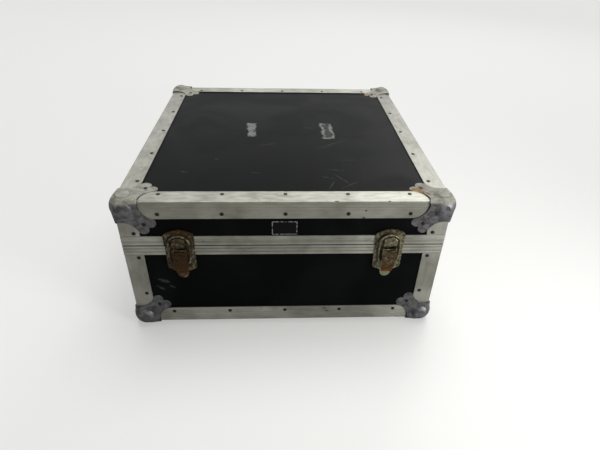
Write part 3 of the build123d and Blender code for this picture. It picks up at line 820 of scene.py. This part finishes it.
class Shaper(Graph):
    """Geometry Nodes tree under construction, with named inputs and one finish for its pieces."""

    def __init__(self, name: str, **kinds: Sequence[str]) -> None:
        """Start a tree.

        Args:
            name: Name of the tree.
            kinds: Labels of the inputs of each kind of socket, such as Float.
        """
        super().__init__(bpy.data.node_groups.new(name, "GeometryNodeTree"))
        labels = {"Geometry": ("Geometry",), **kinds, "Material": ("Finish",)}
        face = self.tree.interface
        for kind, names in labels.items():
            for label in names:
                face.new_socket(label, in_out="INPUT", socket_type=f"NodeSocket{kind}")
        face.new_socket("Geometry", in_out="OUTPUT", socket_type="NodeSocketGeometry")
        self.given = self.add("NodeGroupInput").outputs
        place = self.field("GeometryNodeInputPosition", {})
        self.spot = self.fields("ShaderNodeSeparateXYZ", {0: place})

    def smooth(self, shape: Socket, **moves: Any) -> Socket:
        """Move a shape's points and shade it smooth.

        Args:
            shape: Geometry that is shaped.
            moves: Position or Offset of its points.

        Returns:
            Socket of the shape.
        """
        moved = self.add("GeometryNodeSetPosition", {"Geometry": shape, **moves}).outputs[0]
        inputs = {"Geometry": moved, "Shade Smooth": True}
        return self.add("GeometryNodeSetShadeSmooth", inputs).outputs[0]

    def close(self, shape: Socket) -> bpy.types.NodeTree:
        """Make instances real, set the finish and end the tree.

        Args:
            shape: Geometry to put out.

        Returns:
            The finished tree.
        """
        real = self.add("GeometryNodeRealizeInstances", {"Geometry": shape}).outputs[0]
        inputs = {"Geometry": real, "Material": self.given["Finish"]}
        coated = self.add("GeometryNodeSetMaterial", inputs).outputs[0]
        self.add("NodeGroupOutput", {0: coated})
        return self.tree


def bake_nodes(
    name: str, start: bpy.types.Mesh, tree: bpy.types.NodeTree, sizes: Mapping[str, Any]
) -> bpy.types.Object:
    """Run a Geometry Nodes tree on a mesh and keep the result as a plain mesh.

    Args:
        name: Name of the piece.
        start: Mesh that the tree starts from.
        tree: Tree with named inputs.
        sizes: Value of each named input.

    Returns:
        Object at the origin with no modifier left.
    """
    raw = link(f"{name}_raw", start)
    modifier = raw.modifiers.new("nodes", "NODES")
    modifier.node_group = tree
    for item in tree.interface.items_tree:
        if item.item_type == "SOCKET" and item.in_out == "INPUT" and item.name in sizes:
            modifier[item.identifier] = sizes[item.name]
    bpy.context.view_layer.update()
    graph = bpy.context.evaluated_depsgraph_get()
    mesh = bpy.data.meshes.new_from_object(raw.evaluated_get(graph), depsgraph=graph)
    mesh.name = name
    raw.modifiers.remove(modifier)
    bpy.data.objects.remove(raw)
    return link(name, mesh)


def link(name: str, data: bpy.types.ID) -> bpy.types.Object:
    """Put a new object into the scene.

    Args:
        name: Name of the object.
        data: Mesh, lamp or camera that it shows.

    Returns:
        The object, at the origin.
    """
    thing = bpy.data.objects.new(name, data)
    bpy.context.scene.collection.objects.link(thing)
    return thing


def settle(piece: bpy.types.Object, body: str, slot: str, replaced: Sequence[str] = ()) -> None:
    """Attach a piece to its body and hide the CAD nodes that it replaces.

    Args:
        piece: Finished piece.
        body: CAD body that carries it.
        slot: Not used.
        replaced: CAD nodes that it replaces.
    """
    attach(piece, body)
    if replaced:
        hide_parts(*replaced)


def dress(material: bpy.types.Material, *nodes: str) -> None:
    """Put one material on CAD nodes.

    Args:
        material: Finish to assign.
        nodes: Names of the CAD nodes.
    """
    for name in nodes:
        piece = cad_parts[name]
        if not piece.material_slots:
            piece.data.materials.append(material)
        for entry in piece.material_slots:
            entry.material = material
        LOG.info("%s wears %s", name, material.name)


# ---------------------------------------------------------------- fasteners


@dataclass(frozen=True)
class HeadPlace:
    """Place of one fastener head: the middle of its foot, and the way that it faces."""

    foot: Vector
    facing: Vector


def heads_facing(facing: Point, spots: Iterable[Point]) -> list[HeadPlace]:
    """Place heads that all face one way on spots given in millimetres."""
    return [HeadPlace(Vector(spot) * MM, Vector(facing)) for spot in spots]


def island_places(node: str, merge: float = 0.005, rim: float = 0.98) -> list[HeadPlace]:
    """Find where each head of a CAD node stands.

    Args:
        node: CAD node whose solids are low cones, wide at the foot.
        merge: Distance within which vertices are one.
        rim: Share of a head's reach beyond which a vertex stands on its foot's rim.

    Returns:
        One place for each solid.
    """
    mesh = bmesh.new()
    mesh.from_mesh(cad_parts[node].data)
    bmesh.ops.remove_doubles(mesh, verts=mesh.verts, dist=merge * MM)
    unseen = set(mesh.verts)
    places = []
    while unseen:
        island, edge = [], [unseen.pop()]
        while edge:
            vertex = edge.pop()
            island.append(vertex.co.copy())
            for way in vertex.link_edges:
                other = way.other_vert(vertex)
                if other in unseen:
                    unseen.remove(other)
                    edge.append(other)
        middle = sum(island, Vector()) / len(island)
        reach = max((point - middle).length for point in island)
        ring = [point for point in island if (point - middle).length > rim * reach]
        foot = sum(ring, Vector()) / len(ring)
        places.append(HeadPlace(foot, (middle - foot).normalized()))
    mesh.free()
    return sorted(places, key=lambda place: tuple(place.foot))


@dataclass
class Fasteners:
    """Heads of one kind on one body, set out by a Geometry Nodes tree."""

    name: str
    body: str
    slot: str
    radius: float
    height: float
    skirt: float = 0.35
    crown: float = 0.62
    segments: int = 14
    rings: int = 8
    seed: int = 1

    def tree(self) -> bpy.types.NodeTree:
        """Build the tree that turns points into heads.

        Returns:
            Tree with named inputs for the head's sizes, the seed and the material.
        """
        sizes = ("Head Radius", "Head Height", "Skirt", "Crown")
        shaper = Shaper(f"{self.name}_heads", Float=sizes, Int=("Seed",))
        given = shaper.given
        inputs = {"Segments": self.segments, "Rings": self.rings, "Radius": 1.0}
        ball = shaper.add("GeometryNodeMeshUVSphere", inputs).outputs["Mesh"]
        across, deep, up = shaper.spot
        dome = shaper.work("POWER", shaper.work("MAXIMUM", up, 0.0), given["Crown"])
        sunk = shaper.work("MINIMUM", up, 0.0) * given["Skirt"]
        level = dome * given["Head Height"] + sunk
        spread = {n: part * given["Head Radius"] for n, part in enumerate((across, deep))}
        shape = shaper.add("ShaderNodeCombineXYZ", {**spread, 2: level}).outputs[0]
        head = shaper.smooth(ball, Position=shape)
        facing = shaper.add(
            "GeometryNodeInputNamedAttribute", {"Name": "facing"}, data_type="FLOAT_VECTOR"
        )
        turned = shaper.add(
            "FunctionNodeAlignRotationToVector",
            {"Vector": facing.outputs["Attribute"]},
            axis="Z",
        )
        heads = shaper.add(
            "GeometryNodeInstanceOnPoints",
            {"Points": given["Geometry"], "Instance": head, "Rotation": turned.outputs[0]},
        )
        chance = shaper.add("FunctionNodeRandomValue", {"Seed": given["Seed"]}, data_type="FLOAT")
        worn = shaper.add(
            "GeometryNodeStoreNamedAttribute",
            {"Geometry": heads.outputs[0], "Name": "wear", "Value": chance.outputs[1]},
            data_type="FLOAT",
            domain="INSTANCE",
        )
        return shaper.close(worn.outputs[0])

    def make(
        self,
        places: Sequence[HeadPlace],
        finish: bpy.types.Material,
        replaced: Sequence[str] = (),
    ) -> None:
        """Make the heads, attach them to their body and hide the CAD nodes that they replace.

        Args:
            places: Where each head stands.
            finish: Material of the heads.
            replaced: CAD nodes that these heads stand for.
        """
        points = bpy.data.meshes.new(f"{self.name}_points")
        points.from_pydata([place.foot for place in places], [], [])
        facing = points.attributes.new("facing", "FLOAT_VECTOR", "POINT")
        for entry, place in zip(facing.data, places):
            entry.vector = place.facing
        sizes = {
            "Head Radius": self.radius * MM,
            "Head Height": self.height * MM,
            "Skirt": self.skirt * MM,
            "Crown": self.crown,
            "Seed": self.seed,
            "Finish": finish,
        }
        piece = bake_nodes(self.name, points, self.tree(), sizes)
        settle(piece, self.body, self.slot, replaced)
        LOG.info("%s: %d heads on %s", self.name, len(places), self.body)


# ---------------------------------------------------------------- sub-assemblies

HALVES = ("base", "lid")
SIDES = ("front", "back", "left", "right")
CORNERS = ("front_left", "front_right", "back_left", "back_right")


@dataclass
class CaseShell:
    """Boards, aluminium edging and ball corners of the base and the lid."""

    residues: tuple[Residue, ...] = (
        Residue((-70.0, -25.0), (-54.0, 42.0), 2.2),
        Residue((74.0, -30.0), (96.0, 44.0), 6.6, 5.0),
    )
    corner_stains: tuple[Scuff, ...] = (
        Scuff((200.0, -226.0), 34.0, 18.0, 8.0),
        Scuff((209.0, -219.0), 16.0, 12.0, 30.0),
        Scuff((213.0, -237.0), 24.0, 7.0, -50.0),
        Scuff((200.0, 219.0), 30.0, 12.0, -24.0),
        Scuff((-223.5, -203.5), 14.0, 4.0, 60.0),
    )
    corner_rust: float = 0.08
    lid_scuffs: tuple[Scuff, ...] = (
        Scuff((88.7, -53.9), 92.0, 2.4, 31.0),
        Scuff((78.0, -66.0), 40.0, 1.8, 36.0),
        Scuff((48.0, 21.6), 34.0, 2.2, -18.0),
        Scuff((85.6, -157.7), 36.0, 2.4, -7.0),
        Scuff((90.1, -186.6), 46.0, 2.8, -54.0),
        Scuff((68.6, -183.9), 28.0, 2.4, -21.0),
        Scuff((73.6, -207.2), 36.0, 3.0, 67.0),
        Scuff((101.1, -208.3), 44.0, 2.2, 37.0),
        Scuff((-28.1, -57.2), 44.0, 2.4, 17.0),
        Scuff((-47.0, -167.9), 22.0, 2.6, 0.0),
        Scuff((-115.0, -118.3), 10.0, 4.0, 0.0),
        Scuff((-162.9, -164.9), 18.0, 4.0, 0.0),
        Scuff((111.5, -121.3), 36.0, 1.8, 0.0),
        Scuff((164.7, -0.5), 28.0, 1.8, 9.0),
    )
    front_scuffs: tuple[Scuff, ...] = (
        Scuff((-197.2, 96.1), 24.0, 8.0, -20.0),
        Scuff((-203.4, 80.7), 20.0, 6.0, -35.0),
        Scuff((-186.0, 83.5), 16.0, 5.0, -30.0),
    )

    def make(self) -> None:
        """Dress every board, extrusion and corner."""
        lid_top = BlackLaminate("lid_laminate", self.residues, self.lid_scuffs, False).make()
        front = BlackLaminate("front_laminate", scuffs=self.front_scuffs).make()
        walls = BlackLaminate("wall_laminate").make()
        dress(lid_top, "lid_top_board")
        dress(front, "base_front_board")
        dress(walls, "base_bottom_board", "lid_front_board")
        for side in SIDES[1:]:
            dress(walls, *(f"{half}_{side}_board" for half in HALVES))
        drawn = {grain: MillAluminium(grain).make() for grain in Grain}
        for side in SIDES:
            grain = Grain.X if side in ("front", "back") else Grain.Y
            for half in HALVES:
                dress(drawn[grain], f"{half}_{side}_edge", f"{half}_{side}_rim")
        dress(drawn[Grain.Z], *(f"{half}_corner_posts" for half in HALVES))
        for half, stains in zip(HALVES, ((), self.corner_stains)):
            zinc = ZincPressing(f"{half}_zinc", self.corner_rust, stains).make()
            dress(zinc, *(f"{half}_ball_corner_{corner}" for corner in CORNERS))
        dress(BlankPlate().make(), "name_plate")


@dataclass
class Rivets:
    """Rivets of the edging and the ball corners."""

    radius: float = 3.2
    height: float = 1.15

    def make(self) -> None:
        """Set a domed head where each CAD head stands."""
        steel = BlackenedSteel().make()
        for seed, half in enumerate(HALVES, start=11):
            heads = Fasteners(
                f"{half}_rivet_heads", half, "rivet_steel", self.radius, self.height, seed=seed
            )
            heads.make(island_places(f"{half}_rivets"), steel, [f"{half}_rivets"])


@dataclass
class DrawLatch:
    """One draw latch: keeper, base plate, lever and wire loop, each tarnished by its own amount."""

    hand: str
    keeper: float
    lever: float
    base_plate: float
    loop: float
    lip_rust: float
    arch_rust: float
    bare_tab: bool = False
    spread: float = 163.0
    sheet: float = 1.6
    keeper_rivet: Pair = (15.5, 20.5)
    plate_rivet: Pair = (16.8, -37.0)
    rivet_radius: float = 2.1
    rivet_height: float = 0.8
    arch_fade: Pair = (-17.0, -29.0)
    plate_fade: Pair = (40.0, 47.0)

    def rivet_places(self, spot: Pair) -> list[HeadPlace]:
        """Work out where a pair of rivets stands.

        Args:
            spot: Distance from the latch's middle, and height over the base's rim.

        Returns:
            Places of the two heads.
        """
        middle = self.spread if self.hand == "right" else -self.spread
        front, level = -CASE.depth / 2 - self.sheet, CASE.base_top + spot[1]
        spots = [(middle + end * spot[0], front, level) for end in (-1, 1)]
        return heads_facing((0.0, -1.0, 0.0), spots)

    def finish(self, part: str) -> bpy.types.Material:
        """Make the tarnished finish of one part.

        Args:
            part: Name of the part, which is also the field of its tarnish.

        Returns:
            The finished material.
        """
        rusty_lip = {"lip_rust": self.lip_rust, "lip_fade": self.plate_fade}
        changes: dict[str, dict[str, Any]] = {
            "keeper": {"lip_rust": self.arch_rust, "lip_fade": self.arch_fade},
            "lever": {"lip_rust": self.lip_rust, "plate": "#78694F", "dull": "#544630"},
            "base_plate": {"bare_tab": True} if self.bare_tab else rusty_lip,
            "loop": {},
        }
        share = getattr(self, part)
        name = f"tarnished_nickel_{self.hand}_{part}"
        return RustedNickel(name, share, share, **changes[part]).make()

    def make(self) -> None:
        """Dress the latch's four pieces and rivet its plates down."""
        riveted = {"keeper": ("lid", self.keeper_rivet), "base_plate": ("base", self.plate_rivet)}
        for part in ("keeper", "lever", "base_plate", "loop"):
            coat = self.finish(part)
            dress(coat, f"latch_{self.hand}_{part}")
            if part in riveted:
                body, spot = riveted[part]
                name = f"latch_{self.hand}_{part}_rivets"
                size = (self.rivet_radius, self.rivet_height)
                rivets = Fasteners(name, body, "latch_steel", *size, segments=12, rings=6)
                rivets.make(self.rivet_places(spot), coat)


@dataclass
class StopHinges:
    """Two stop hinges at the back, with the screws that hold their leaves."""

    middle: float = 150.0
    rim_face: float = 262.0
    board_face: float = 260.5
    screw_spread: float = 25.0
    rim_drop: float = 12.0
    board_drop: float = 32.0
    radius: float = 3.6
    height: float = 1.3

    def places(self, rise: int) -> list[HeadPlace]:
        """Work out where the screws of one half stand.

        Args:
            rise: One for the lid's leaves, minus one for the base's.

        Returns:
            Places of the heads.
        """
        reach = self.screw_spread
        rows = (
            (self.board_face, self.board_drop, (-reach, 0.0, reach)),
            (self.rim_face, self.rim_drop, (-reach, reach)),
        )
        spots = [
            (middle + along, face, CASE.seam + rise * drop)
            for middle in (-self.middle, self.middle)
            for face, drop, row in rows
            for along in row
        ]
        return heads_facing((0.0, 1.0, 0.0), spots)

    def make(self) -> None:
        """Dress the hinges and add their screws."""
        greys = {"plate": "#8B8B84", "dull": "#6F6F68"}
        steel = RustedNickel("plated_hinge_steel", 0.3, bloomed=0.2, patch=16.0, **greys).make()
        dress(steel, "hinge_base_leaves", "hinge_lid_leaves", "hinge_pins")
        for seed, (half, rise) in enumerate(zip(HALVES, (-1, 1)), start=31):
            screws = Fasteners(
                f"{half}_hinge_screws", half, "hinge_steel", self.radius, self.height, seed=seed
            )
            screws.make(self.places(rise), steel)


@dataclass
class SideHandles:
    """Drop handles on both sides, with their plates' rivets and rubber grips."""

    face: float = 250.5
    level: float = 93.85
    half_length: float = 65.0
    half_height: float = 31.0
    inset: float = 9.0
    radius: float = 3.4
    height: float = 1.2

    def places(self) -> list[HeadPlace]:
        """Work out where the rivets of both plates stand."""
        reach, rise = self.half_length - self.inset, self.half_height - self.inset
        ends = [(along * reach, self.level + up * rise) for along in (-1, 1) for up in (-1, 1)]
        places = []
        for side in (-1, 1):
            spots = [(side * self.face, *end) for end in ends]
            places += heads_facing((side, 0.0, 0.0), spots)
        return places

    def make(self) -> None:
        """Dress the handles and add the rivets."""
        greys = {"plate": "#8B8B84", "dull": "#6C6C65"}
        steel = RustedNickel("plated_handle_steel", 0.35, patch=14.0, **greys).make()
        rubber = MouldedRubber().make()
        for hand in ("left", "right"):
            dress(steel, f"handle_{hand}_plate", f"handle_{hand}_bail")
            dress(rubber, f"handle_{hand}_grip")
        name = "handle_plate_rivets"
        rivets = Fasteners(name, "base", "handle_steel", self.radius, self.height, seed=41)
        rivets.make(self.places(), steel)


@dataclass
class FoamTray:
    """Foam lining of the base: one floor slab and four wall slabs, cut and pushed together."""

    wall: float = 12.0
    floor: float = 15.0
    soft_edge: float = 4.0
    edge_limit: float = 0.6
    spacing: float = 8.0
    swell: float = 0.8
    swell_width: float = 45.0
    edge_stops: tuple[float, ...] = (0.0, 0.12, 0.45)

    def stops(self, length: float, soft: float) -> list[float]:
        """Choose where one axis of a slab is cut, closer together at its soft edges.

        Args:
            length: Length of the slab along the axis.
            soft: Radius of the soft edge.

        Returns:
            Distances from the middle, from the lowest to the highest.
        """
        half = length / 2
        flat = 2 * (half - soft)
        count = max(1, round(flat / self.spacing))
        inner = [flat * n / count - flat / 2 for n in range(count + 1)]
        rim = [half - part * soft for part in self.edge_stops]
        return [-part for part in rim] + inner + rim[::-1]

    def slab(self, mesh: Any, low: Vector, high: Vector) -> None:
        """Add one closed slab with soft edges and slightly wavy faces.

        Args:
            mesh: bmesh that takes the slab.
            low: Lowest corner.
            high: Highest corner.
        """
        half, middle = (high - low) / 2, (low + high) / 2
        soft = min(self.soft_edge, self.edge_limit * min(half))
        stops = [self.stops(2 * part, soft) for part in half]
        made: dict[tuple[int, ...], Any] = {}

        def vertex(key: tuple[int, ...]) -> Any:
            """Take the vertex at one cut of each axis, made when it is first asked for.

            Args:
                key: Number of the cut along each axis.

            Returns:
                The bmesh vertex.
            """
            if key not in made:
                point = Vector([stops[n][key[n]] for n in range(3)])
                core = Vector(
                    [max(soft - half[n], min(half[n] - soft, point[n])) for n in range(3)]
                )
                wave = noise.noise((core + middle) / self.swell_width) * self.swell - self.swell
                point = core + (point - core).normalized() * (soft + wave)
                made[key] = mesh.verts.new((middle + point) * MM)
            return made[key]

        for axis in range(3):
            first, second = [n for n in range(3) if n != axis]
            for end in (0, len(stops[axis]) - 1):
                for i in range(len(stops[first]) - 1):
                    for j in range(len(stops[second]) - 1):
                        ring = []
                        for di, dj in ((0, 0), (1, 0), (1, 1), (0, 1)):
                            key = [0, 0, 0]
                            key[axis], key[first], key[second] = end, i + di, j + dj
                            ring.append(vertex(tuple(key)))
                        mesh.faces.new(ring)

    def make(self, foam: bpy.types.Material) -> None:
        """Build the tray in place of its CAD solid.

        Args:
            foam: Material of the tray.
        """
        across, deep = CASE.foam_half
        low = CASE.floor_level + CASE.angle_wall + CASE.board + CASE.foam_play
        high = CASE.base_top - CASE.rim_inner_leg - CASE.foam_play
        top = low + self.floor
        mesh = bmesh.new()
        self.slab(mesh, Vector((-across, -deep, low)), Vector((across, deep, top)))
        for side in (-1, 1):
            near, far = sorted((side * deep, side * (deep - self.wall)))
            self.slab(mesh, Vector((-across, near, top)), Vector((across, far, high)))
            near, far = sorted((side * across, side * (across - self.wall)))
            inner = deep - self.wall
            self.slab(mesh, Vector((near, -inner, top)), Vector((far, inner, high)))
        bmesh.ops.recalc_face_normals(mesh, faces=mesh.faces)
        for face in mesh.faces:
            face.smooth = True
        data = bpy.data.meshes.new("base_foam_tray")
        mesh.to_mesh(data)
        mesh.free()
        data.materials.append(foam)
        tray = link("base_foam_tray", data)
        settle(tray, "base", "foam", ["base_lining"])
        LOG.info("base_foam_tray: five slabs, %d faces", len(data.polygons))


@dataclass
class EggCratePad:
    """Convoluted foam under the lid: a flat back with peaks and pits in a checkerboard."""

    thickness: float = 20.0
    relief: float = 13.0
    pitch: float = 34.0
    border: float = 10.0
    spacing: float = 4.0
    front_layer: float = 0.49

    def tree(self) -> bpy.types.NodeTree:
        """Build the tree that shapes the pad.

        Returns:
            Tree with named inputs for the pad's sizes and its material.
        """
        sizes = ("Level", "Relief", "Pitch", "Border")
        counts = ("Points X", "Points Y")
        shaper = Shaper("egg_crate_pad", Vector=("Size",), Float=sizes, Int=counts)
        given, spot = shaper.given, shaper.spot
        size = shaper.fields("ShaderNodeSeparateXYZ", {0: given["Size"]})
        cuts = {f"Vertices {axis}": given[f"Points {axis}"] for axis in "XY"}
        inputs = {"Size": given["Size"], **cuts, "Vertices Z": 3}
        block = shaper.add("GeometryNodeMeshCube", inputs).outputs["Mesh"]
        wave: Any = 0.5
        edge: Any = 1.0
        for n in range(2):
            wave = shaper.work("COSINE", spot[n] / given["Pitch"] * math.pi) * wave
            inset = size[n] * 0.5 - abs(spot[n])
            edge = shaper.work("DIVIDE", inset, given["Border"], use_clamp=True) * edge
        front = shaper.work("LESS_THAN", spot[2], size[2] * -self.front_layer)
        rise = (wave + 0.5) * edge * given["Relief"] * front + given["Level"]
        offset = shaper.add("ShaderNodeCombineXYZ", {2: rise}).outputs[0]
        return shaper.close(shaper.smooth(block, Offset=offset))

    def make(self, foam: bpy.types.Material) -> None:
        """Build the pad in place of its CAD solid.

        Args:
            foam: Material of the pad.
        """
        across, deep = CASE.foam_half
        back = CASE.lid_top - CASE.angle_wall - CASE.board - CASE.foam_play
        sizes = {
            "Size": Vector((2 * across, 2 * deep, self.thickness)) * MM,
            "Level": (back - self.thickness / 2) * MM,
            "Relief": self.relief * MM,
            "Pitch": self.pitch * MM,
            "Border": self.border * MM,
            "Points X": round(2 * across / self.spacing) + 1,
            "Points Y": round(2 * deep / self.spacing) + 1,
            "Finish": foam,
        }
        start = bpy.data.meshes.new("pad_start")
        pad = bake_nodes("lid_egg_crate_pad", start, self.tree(), sizes)
        settle(pad, "lid", "foam", ["lid_pad"])
        LOG.info("lid_egg_crate_pad: %d faces", len(pad.data.polygons))


# ---------------------------------------------------------------- studio


@dataclass(frozen=True)
class SoftBox:
    """Square soft lamp, aimed at the case, with a grid that narrows its light.

    The place and the size are in metres, the power in watts and the spread in degrees.
    """

    name: str
    place: Point
    size: float
    power: float
    spread: float

    def make(self) -> None:
        """Hang the lamp."""
        data = bpy.data.lights.new(self.name, "AREA")
        data.energy, data.size, data.spread = self.power, self.size, math.radians(self.spread)
        lamp = link(self.name, data)
        lamp.location = self.place
        aim = Vector(self.place) - Vector((0.0, 0.0, CASE.seam * MM))
        lamp.rotation_euler = aim.to_track_quat("Z", "Y").to_euler()


@dataclass
class Studio:
    """Pale floor, a soft key over the case, two soft boxes, the room's light and the camera."""

    floor_half_metres: float = 14.0
    floor_colour: str = "#C4C4C2"
    fibre_colour: str = "#B6B6B4"
    fibre: Patches = Patches(3.0, 0.3, 0.7, 3.0)
    floor_lift: float = 0.61
    room_light: float = 0.13
    key_strength: float = 2.1
    key_degrees: float = 45.0
    key_from: Point = (0.1, 0.3, 1.0)
    boxes: tuple[SoftBox, ...] = (
        SoftBox("sheen_box", (1.4, 2.7, 2.6), 1.2, 9.5, 110.0),
        SoftBox("front_box", (1.1, -0.95, 0.4), 0.5, 3.3, 80.0),
    )
    camera_place: Point = (-11.695, -827.254, 594.979)
    camera_right: Point = (0.99880362, -0.04262229, 0.0239724)
    camera_up: Point = (0.0043328, 0.5654254, 0.8247880)
    camera_back: Point = (-0.04870896, -0.82369742, 0.56493362)
    lens: float = 27.31
    sensor: float = 36.0
    clip_metres: float = 100.0

    def floor(self) -> None:
        """Lay the floor, which keeps the shadow and is lifted to white for the camera alone."""
        half = self.floor_half_metres
        data = bpy.data.meshes.new("studio_floor")
        corners = [(-half, -half, 0), (half, -half, 0), (half, half, 0), (-half, half, 0)]
        data.from_pydata(corners, [], [(0, 1, 2, 3)])
        paper = Recipe("seamless_paper", self.floor_colour)
        seen = Field(paper, paper.add("ShaderNodeLightPath").outputs["Is Camera Ray"])
        glow = {
            "Emission_Color": linear(self.floor_colour),
            "Emission_Strength": seen * self.floor_lift,
        }
        paper.coat(self.fibre_colour, paper.clouds(self.fibre), share=0.1)
        data.materials.append(paper.finish(0.9, Specular_IOR_Level=0.1, **glow))
        floor = link("studio_floor", data)

    def room(self) -> None:
        """Light the room evenly, and show it white to the camera, metal and glass."""
        world = bpy.data.worlds.new("white_room")
        world.use_nodes = True
        world.node_tree.nodes.clear()
        room = Graph(world.node_tree)
        path = room.add("ShaderNodeLightPath").outputs
        seen = room.most(path[f"Is {kind} Ray"] for kind in ("Camera", "Glossy", "Transmission"))
        inputs = {"Color": linear("#FFFFFF"), "Strength": seen.span(self.room_light, 1.0)}
        light = room.add("ShaderNodeBackground", inputs)
        room.add("ShaderNodeOutputWorld", {"Surface": light.outputs[0]})
        bpy.context.scene.world = world

    def lamps(self) -> None:
        """Hang the soft key over the case, and the soft boxes."""
        data = bpy.data.lights.new("key", "SUN")
        data.energy = self.key_strength
        data.angle = math.radians(self.key_degrees)
        key = link("key", data)
        key.rotation_euler = Vector(self.key_from).to_track_quat("Z", "Y").to_euler()
        for box in self.boxes:
            box.make()

    def camera(self) -> None:
        """Place the camera."""
        data = bpy.data.cameras.new("camera")
        data.lens, data.sensor_width, data.clip_end = self.lens, self.sensor, self.clip_metres
        camera = link("camera", data)
        turn = Matrix((self.camera_right, self.camera_up, self.camera_back)).transposed().to_4x4()
        camera.matrix_world = Matrix.Translation(Vector(self.camera_place) * MM) @ turn
        bpy.context.scene.camera = camera

    def make(self) -> None:
        """Set up the whole studio."""
        self.camera()
        self.floor()
        self.room()
        self.lamps()
        bpy.context.scene.view_settings.view_transform = "Standard"


def main() -> None:
    """Build the case's looks and the studio around it."""
    logging.basicConfig(level=logging.INFO, format="%(name)s: %(message)s")
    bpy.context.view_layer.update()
    Studio().make()
    CaseShell().make()
    Rivets().make()
    DrawLatch(
        hand="left",
        keeper=0.85,
        lever=1.25,
        base_plate=0.65,
        loop=0.7,
        lip_rust=0.5,
        arch_rust=0.6,
    ).make()
    DrawLatch(
        hand="right",
        keeper=0.4,
        lever=0.65,
        base_plate=0.25,
        loop=0.2,
        lip_rust=1.0,
        arch_rust=0.3,
        bare_tab=True,
    ).make()
    dress(RustedNickel("tarnished_pins", 0.7).make(), "latch_pivot_pins")
    StopHinges().make()
    SideHandles().make()
    foam = OpenCellFoam().make()
    FoamTray().make(foam)
    EggCratePad().make(foam)


if __name__ == "__main__":
    main()
